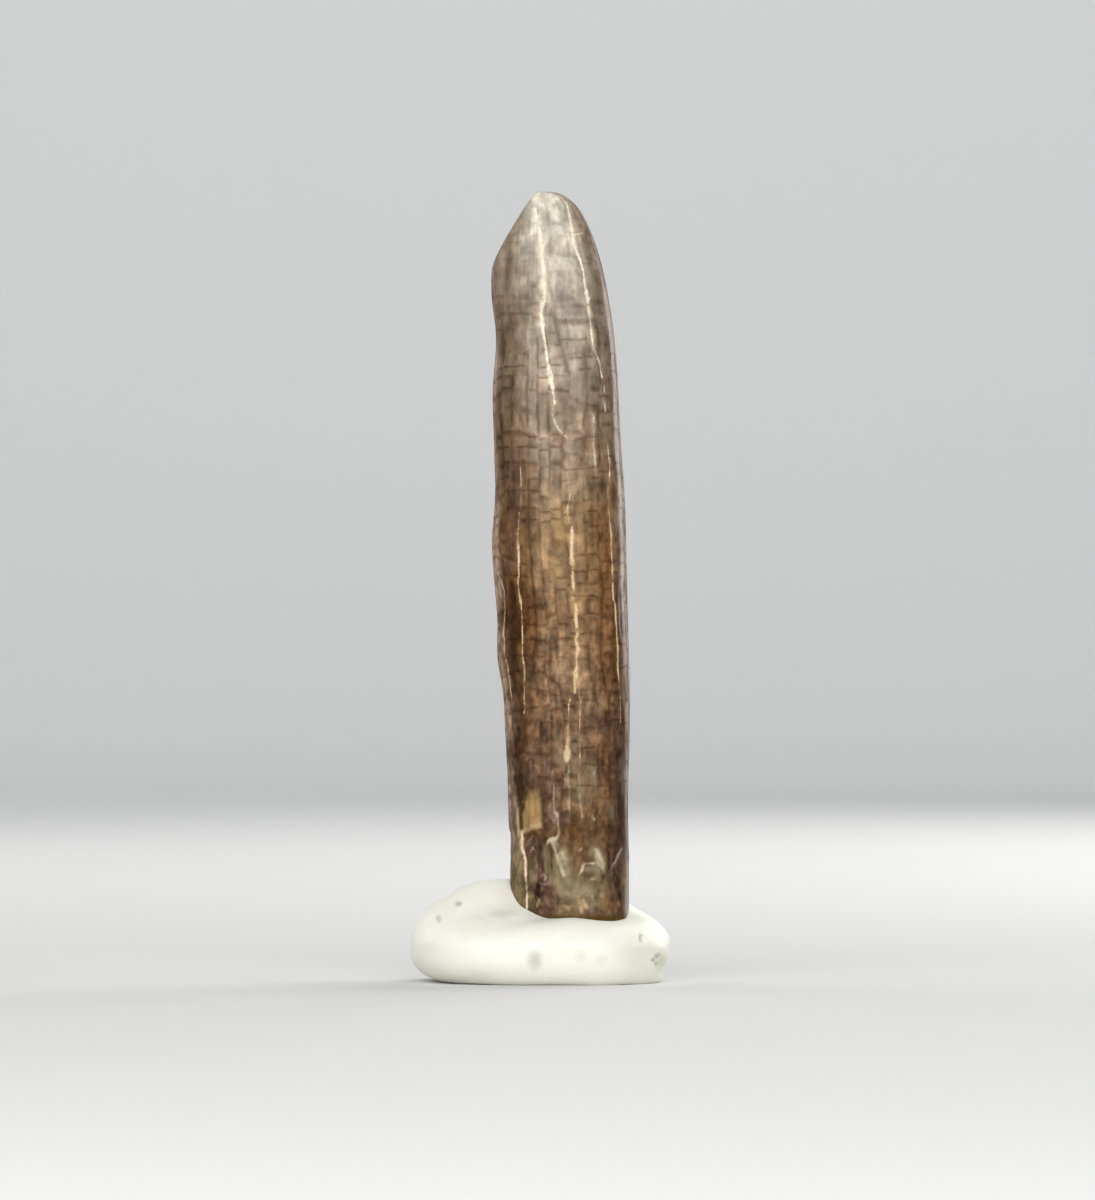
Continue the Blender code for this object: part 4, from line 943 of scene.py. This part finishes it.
PUTTY_HALF_LENGTH, PUTTY_HALF_DEPTH, PUTTY_WAIST = 7.485, 6.24, 2.0
PUTTY_SQUARENESS = 0.84  # 1 is an ellipse, less is squarer
PUTTY_UNDERCUT = ((-180, 1.3), (-90, 2.5), (0, 1.2), (90, 0.45), (180, 1.3))  # turn, set in of the sole
PUTTY_TOP = (  # turn, height of the lump at the tooth, how far drawn up against the tooth
    (-180, 5.2, 0.20), (-150, 5.6, 0.05), (-120, 5.85, 0.0), (-90, 5.72, 0.0), (-72, 5.12, 0.0),
    (-56, 4.50, 0.0), (-41, 4.15, 0.0), (-24, 3.80, 0.0), (6, 3.80, 0.0), (32, 3.62, 0.0),
    (62, 3.58, 0.0), (76, 3.60, 0.10), (86, 3.80, 0.42), (95, 3.98, 0.58), (116, 4.14, 0.46),
    (138, 4.42, 0.34), (160, 4.85, 0.28), (180, 5.2, 0.20),
)
PUTTY_DRAW = 0.25  # distance over which the drawn-up edge falls away from the tooth
PUTTY_GRIP, FOOT_GRIP = 0.12, 0.1  # how far the tooth's uneven skin and its foot sink into the socket
PUTTY_HUMPS = (((-3.8, 0.0), (1.3, 3.2), 0.30), ((5.5, 0.3), (0.9, 2.8), 0.17))  # middle, reach, height
PUTTY_DENTS = ((0.22, 3.6), (0.05, 1.2), (0.012, 0.35))  # depth, size
DENTS_FADE = 12  # degrees up the ball over which they fade out towards the sole and the socket
PUTTY_SLICE = ((7.64, 0.0, 2.2), (0.958, 0.02, -0.287))  # a point of the slice, the way it faces
SLICE_ROUNDING, SHARP_ANGLE = 0.12, 40  # edges that turn more than this many degrees stay sharp
PUTTY_SEGMENTS, PUTTY_RINGS = 256, 120
SOLE_LIFT, RIM_LIFT, FLOOR_LIFT = -75, 78, 87  # degrees up the ball to the sole, the socket, its floor
PUTTY_WHITE, PUTTY_SHADE_GREY, SPECK_GREY = (239, 239, 228), (220, 220, 204), (150, 150, 128)
SPECKS = (  # dirt stuck to the front: x, height, reach across and up, strength
    (-4.75, 4.57, 0.20, 0.19, 0.65), (-5.85, 3.70, 0.17, 0.24, 0.55), (-2.19, 4.04, 0.80, 0.20, 0.30),
    (-0.29, 1.48, 0.46, 0.55, 0.50), (5.75, 2.68, 0.13, 0.26, 0.80), (6.50, 1.40, 0.14, 0.16, 0.90),
    (6.66, 1.54, 0.15, 0.14, 0.90), (6.84, 1.68, 0.16, 0.14, 0.85), (6.66, 1.16, 0.18, 0.15, 0.85),
    (6.98, 1.25, 0.45, 0.55, 0.45), (2.34, 1.71, 0.40, 0.42, 0.15), (3.49, 1.46, 0.45, 0.38, 0.15),
)

bpy.ops.object.select_all(action="DESELECT")
bpy.ops.mesh.primitive_uv_sphere_add(segments=PUTTY_SEGMENTS, ring_count=PUTTY_RINGS, radius=1)
putty = bpy.context.active_object
putty.name = "putty_lump"
ball = np.array([v.co for v in putty.data.vertices])
ball /= np.linalg.norm(ball, axis=1)[:, None]
lift = np.degrees(np.arcsin(np.clip(ball[:, 2], -1, 1)))
angle = np.arctan2(ball[:, 0], -ball[:, 1])
(undercut,) = on_curve(PUTTY_UNDERCUT, np.degrees(angle)).T
top, drawn_up = on_curve(PUTTY_TOP, np.degrees(angle)).T
across, deep = np.sin(angle), -np.cos(angle)
waist = np.column_stack((
    PUTTY_HALF_LENGTH * np.sign(across) * np.abs(across) ** PUTTY_SQUARENESS,
    PUTTY_HALF_DEPTH * np.sign(deep) * np.abs(deep) ** PUTTY_SQUARENESS,
))
inwards = -waist / np.linalg.norm(waist, axis=1)[:, None]


def wall_at(heights):
    """The tooth's outside at the putty's turns, as the socket's wall follows it."""
    centre_x, centre_y, half_width, half_deep = section(heights)
    return np.column_stack((
        centre_x + (half_width - PUTTY_GRIP) * across, centre_y + (half_deep - PUTTY_GRIP) * deep,
    ))


rim = wall_at(top)
lump = np.zeros_like(ball)

# Under the waist: a flat sole, then a quarter round. The last few rings are the sole.
bulge = np.clip((lift - SOLE_LIFT) / -SOLE_LIFT, 0, 1) * np.pi / 2
sole_share = np.clip((lift + 90) / (SOLE_LIFT + 90), 0, 1)
set_in = undercut * (1 - np.sin(bulge)) ** 1.25
lump[:, :2] = (waist + inwards * set_in[:, None]) * sole_share[:, None]
lump[:, 2] = PUTTY_WAIST * (1 - np.cos(bulge))

# Over the waist: a dome up to the rim, which is drawn up where the putty clings to the tooth.
over = lift > 0
dome = np.clip(lift / RIM_LIFT, 0, 1) * np.pi / 2
slope = np.cos(dome)
lump[over, :2] = (rim + (waist - rim) * slope[:, None])[over]
lump[over, 2] = (PUTTY_WAIST + (top - PUTTY_WAIST) * np.sin(dome))[over]
from_rim = np.linalg.norm(waist - rim, axis=1) * slope
lump[over, 2] += (drawn_up * np.exp(-from_rim / PUTTY_DRAW))[over]

# In the socket: down the tooth's foot to its floor.
inside = lift > RIM_LIFT
depth = np.clip((lift - RIM_LIFT) / (FLOOR_LIFT - RIM_LIFT), 0, 1)
inner_height = (top + drawn_up) * (1 - depth) + (FOOT + FOOT_GRIP) * depth
share = np.clip((90 - lift) / (90 - FLOOR_LIFT), 0, 1)[:, None]
middle = np.column_stack(section(inner_height)[:2])
lump[inside, :2] = (middle + (wall_at(inner_height) - middle) * share)[inside]
lump[inside, 2] = inner_height[inside]

# Marks of kneading: soft dents, faint finger creases and two low humps. Then the blade's slice.
kneaded = np.column_stack((lump[:, :2], 2 * (lump[:, 2] - PUTTY_WAIST)))
kneaded /= np.linalg.norm(kneaded, axis=1)[:, None] + 1e-9
soft = np.array([
    sum(deepest * noise.noise(Vector(point / size)) for deepest, size in PUTTY_DENTS) for point in lump
])
free = np.clip((lift - SOLE_LIFT) / DENTS_FADE, 0, 1) * np.clip((RIM_LIFT - lift) / DENTS_FADE, 0, 1)
lump += kneaded * (soft * free)[:, None]
for hump, reach, rise in PUTTY_HUMPS:
    from_hump = (((lump[:, :2] - hump) / reach) ** 2).sum(axis=1)
    lump[:, 2] += rise * np.exp(-from_hump) * over
through, facing = (np.array(part) for part in PUTTY_SLICE)
facing /= np.linalg.norm(facing)
beyond = (lump - through) @ facing
lump -= np.outer(SLICE_ROUNDING * np.logaddexp(0, beyond / SLICE_ROUNDING), facing)
lump[:, 2] = np.maximum(lump[:, 2], 0)
move_points(putty, lump)

open_for_edits(putty)
bpy.ops.mesh.normals_make_consistent(inside=False)
bpy.ops.object.mode_set(mode="OBJECT")
seat(putty, "putty_base")

# White, a little greyed at random, with specks of dirt and painted shade at its right end and underside.
mounting_putty, tree, shader = paint("putty")
place = millimetres()
x_place, y_place, z_place = split(place)
shake = tree.nodes.new("ShaderNodeTexNoise")
preset(shake, Scale=3.0)
tree.links.new(place, shake.inputs["Vector"])
shaken = node(
    "ShaderNodeVectorMath", shake.outputs["Color"], (0.3, 0.3, 0.3), place, operation="MULTIPLY_ADD",
)
shaken = node("ShaderNodeVectorMath", shaken, (0.15, 0.15, 0.15), operation="SUBTRACT")
dirt = 0.0
for x, height, wide, tall, strength in SPECKS:
    offset = node("ShaderNodeVectorMath", shaken, (x, 0.0, height), operation="SUBTRACT")
    offset = stretched(offset, 1 / wide, 0.0, 1 / tall)
    away = node("ShaderNodeVectorMath", offset, operation="LENGTH")
    dirt = sums("MAXIMUM", dirt, spread(away, 1.5, 0.1, 0.0, strength))
dirt = times(dirt, spread(y_place, 0.0, -0.5))
grey_and_shade = clouded(place, 2.6, 3.0, 0.5, 0.72, 0.0, 0.3)
# Painted shade: greyer towards the right end and on the underside.
grey_and_shade = sums("MAXIMUM", grey_and_shade, spread(x_place, 3.5, 6.5, 0.0, 0.8))
grey_and_shade = sums("MAXIMUM", grey_and_shade, spread(z_place, 1.6, 0.2, 0.0, 0.6))
colour = mixed(grey_and_shade, tone(PUTTY_WHITE), tone(PUTTY_SHADE_GREY))
colour = mixed(dirt, colour, tone(SPECK_GREY))
tree.links.new(colour, shader.inputs["Base Color"])
preset(shader, Roughness=0.5)
roughen(shader, cloud(place, 0.3, 4.0), 0.35)

putty.data.materials.append(mounting_putty)
select_only(putty)
bpy.ops.object.shade_smooth_by_angle(angle=math.radians(SHARP_ANGLE))
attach(putty, "root")
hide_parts("putty_base")


# --- Paper --------------------------------------------------------------------------------------
# A sheet of pale grey paper that the specimen stands on. It lies flat, and is swept up behind in a
# wide curve. Its sizes are in metres.

PAPER_SIZE, PAPER_WALL, PAPER_CURVE, CURVE_SEGMENTS = 1.6, 1.0, 0.25, 24
PAPER_GREY = (0.7, 0.7, 0.7, 1)
bpy.ops.mesh.primitive_plane_add(size=PAPER_SIZE, location=(0, 0, 0))
paper = bpy.context.active_object
paper.name = "paper"
bpy.ops.object.mode_set(mode="EDIT")
bpy.ops.mesh.select_all(action="DESELECT")
bpy.ops.object.mode_set(mode="OBJECT")
for edge in paper.data.edges:
    edge.select = all(paper.data.vertices[i].co.y > 0 for i in edge.vertices)
bpy.ops.object.mode_set(mode="EDIT")
bpy.ops.mesh.select_mode(type="EDGE")
bpy.ops.mesh.extrude_region_move(TRANSFORM_OT_translate={"value": (0, 0, PAPER_WALL)})
bpy.ops.object.mode_set(mode="OBJECT")
for edge in paper.data.edges:
    ends = [paper.data.vertices[i].co for i in edge.vertices]
    edge.select = all(end.y > 0 and end.z < PAPER_WALL / 2 for end in ends)
bpy.ops.object.mode_set(mode="EDIT")
bpy.ops.mesh.bevel(offset=PAPER_CURVE, segments=CURVE_SEGMENTS)
bpy.ops.object.mode_set(mode="OBJECT")
bpy.ops.object.shade_smooth()
grey_paper, tree, shader = paint("paper")
preset(shader, Base_Color=PAPER_GREY, Roughness=0.9, Specular_IOR_Level=0.1)
paper.data.materials.append(grey_paper)


# --- Lights -------------------------------------------------------------------------------------
# A wide softbox stands in front, higher than the camera and a little to its left. Two behind the
# specimen on the right and a weaker one on the left pick out its edges. One hangs above it, one
# lights the paper behind it, and the room adds a little.


def softbox(name, place, aim, width, height, watts, colour=(1, 1, 1)):
    """A rectangular light at a place, turned towards a point. Both are in millimetres."""
    bpy.ops.object.light_add(type="AREA", location=[c * MM for c in place])
    light = bpy.context.active_object
    light.name = name
    light.data.shape = "RECTANGLE"
    light.data.size, light.data.size_y = width * MM, height * MM
    light.data.energy = watts
    light.data.color = colour
    light.rotation_euler = (Vector(aim) - Vector(place)).to_track_quat("-Z", "Y").to_euler()


KEY_COLOUR, EDGE_COLOUR = (1.0, 0.995, 0.975), (1.0, 0.99, 0.97)
ROOM_COLOUR, ROOM_STRENGTH = (0.93, 0.96, 1.0, 1), 0.2
softbox("key light", (-30, -380, 190), (0, 0, 24), 560, 340, 2.0, KEY_COLOUR)
softbox("right edge light", (246, 172, 88), (0, 0, 40), 110, 125, 0.44, EDGE_COLOUR)
softbox("right back light", (170, 290, 170), (0, 0, 30), 210, 130, 0.45, EDGE_COLOUR)
softbox("left edge light", (-205, 215, 120), (0, 0, 30), 160, 150, 0.2, EDGE_COLOUR)
softbox("top light", (0, 150, 750), (0, 150, 0), 1000, 1000, 1.3)
softbox("backdrop light", (0, 440, 420), (0, 800, 220), 1000, 150, 1.4)

room = bpy.data.worlds.new("room")
room.use_nodes = True
preset(room.node_tree.nodes["Background"], Color=ROOM_COLOUR, Strength=ROOM_STRENGTH)
bpy.context.scene.world = room
bpy.context.scene.view_settings.view_transform = "Standard"


# --- Camera -------------------------------------------------------------------------------------
# A long lens, held level at about half the specimen's height and square to its front.

CAMERA_X, CAMERA_Y, CAMERA_HEIGHT, LENS = 0.423, -483, 22.09, 250
place = (CAMERA_X * MM, CAMERA_Y * MM, CAMERA_HEIGHT * MM)
bpy.ops.object.camera_add(location=place, rotation=(math.radians(90), 0, 0))
camera = bpy.context.active_object
camera.data.lens = LENS
camera.data.clip_start, camera.data.clip_end = 0.01, 10
bpy.context.scene.camera = camera
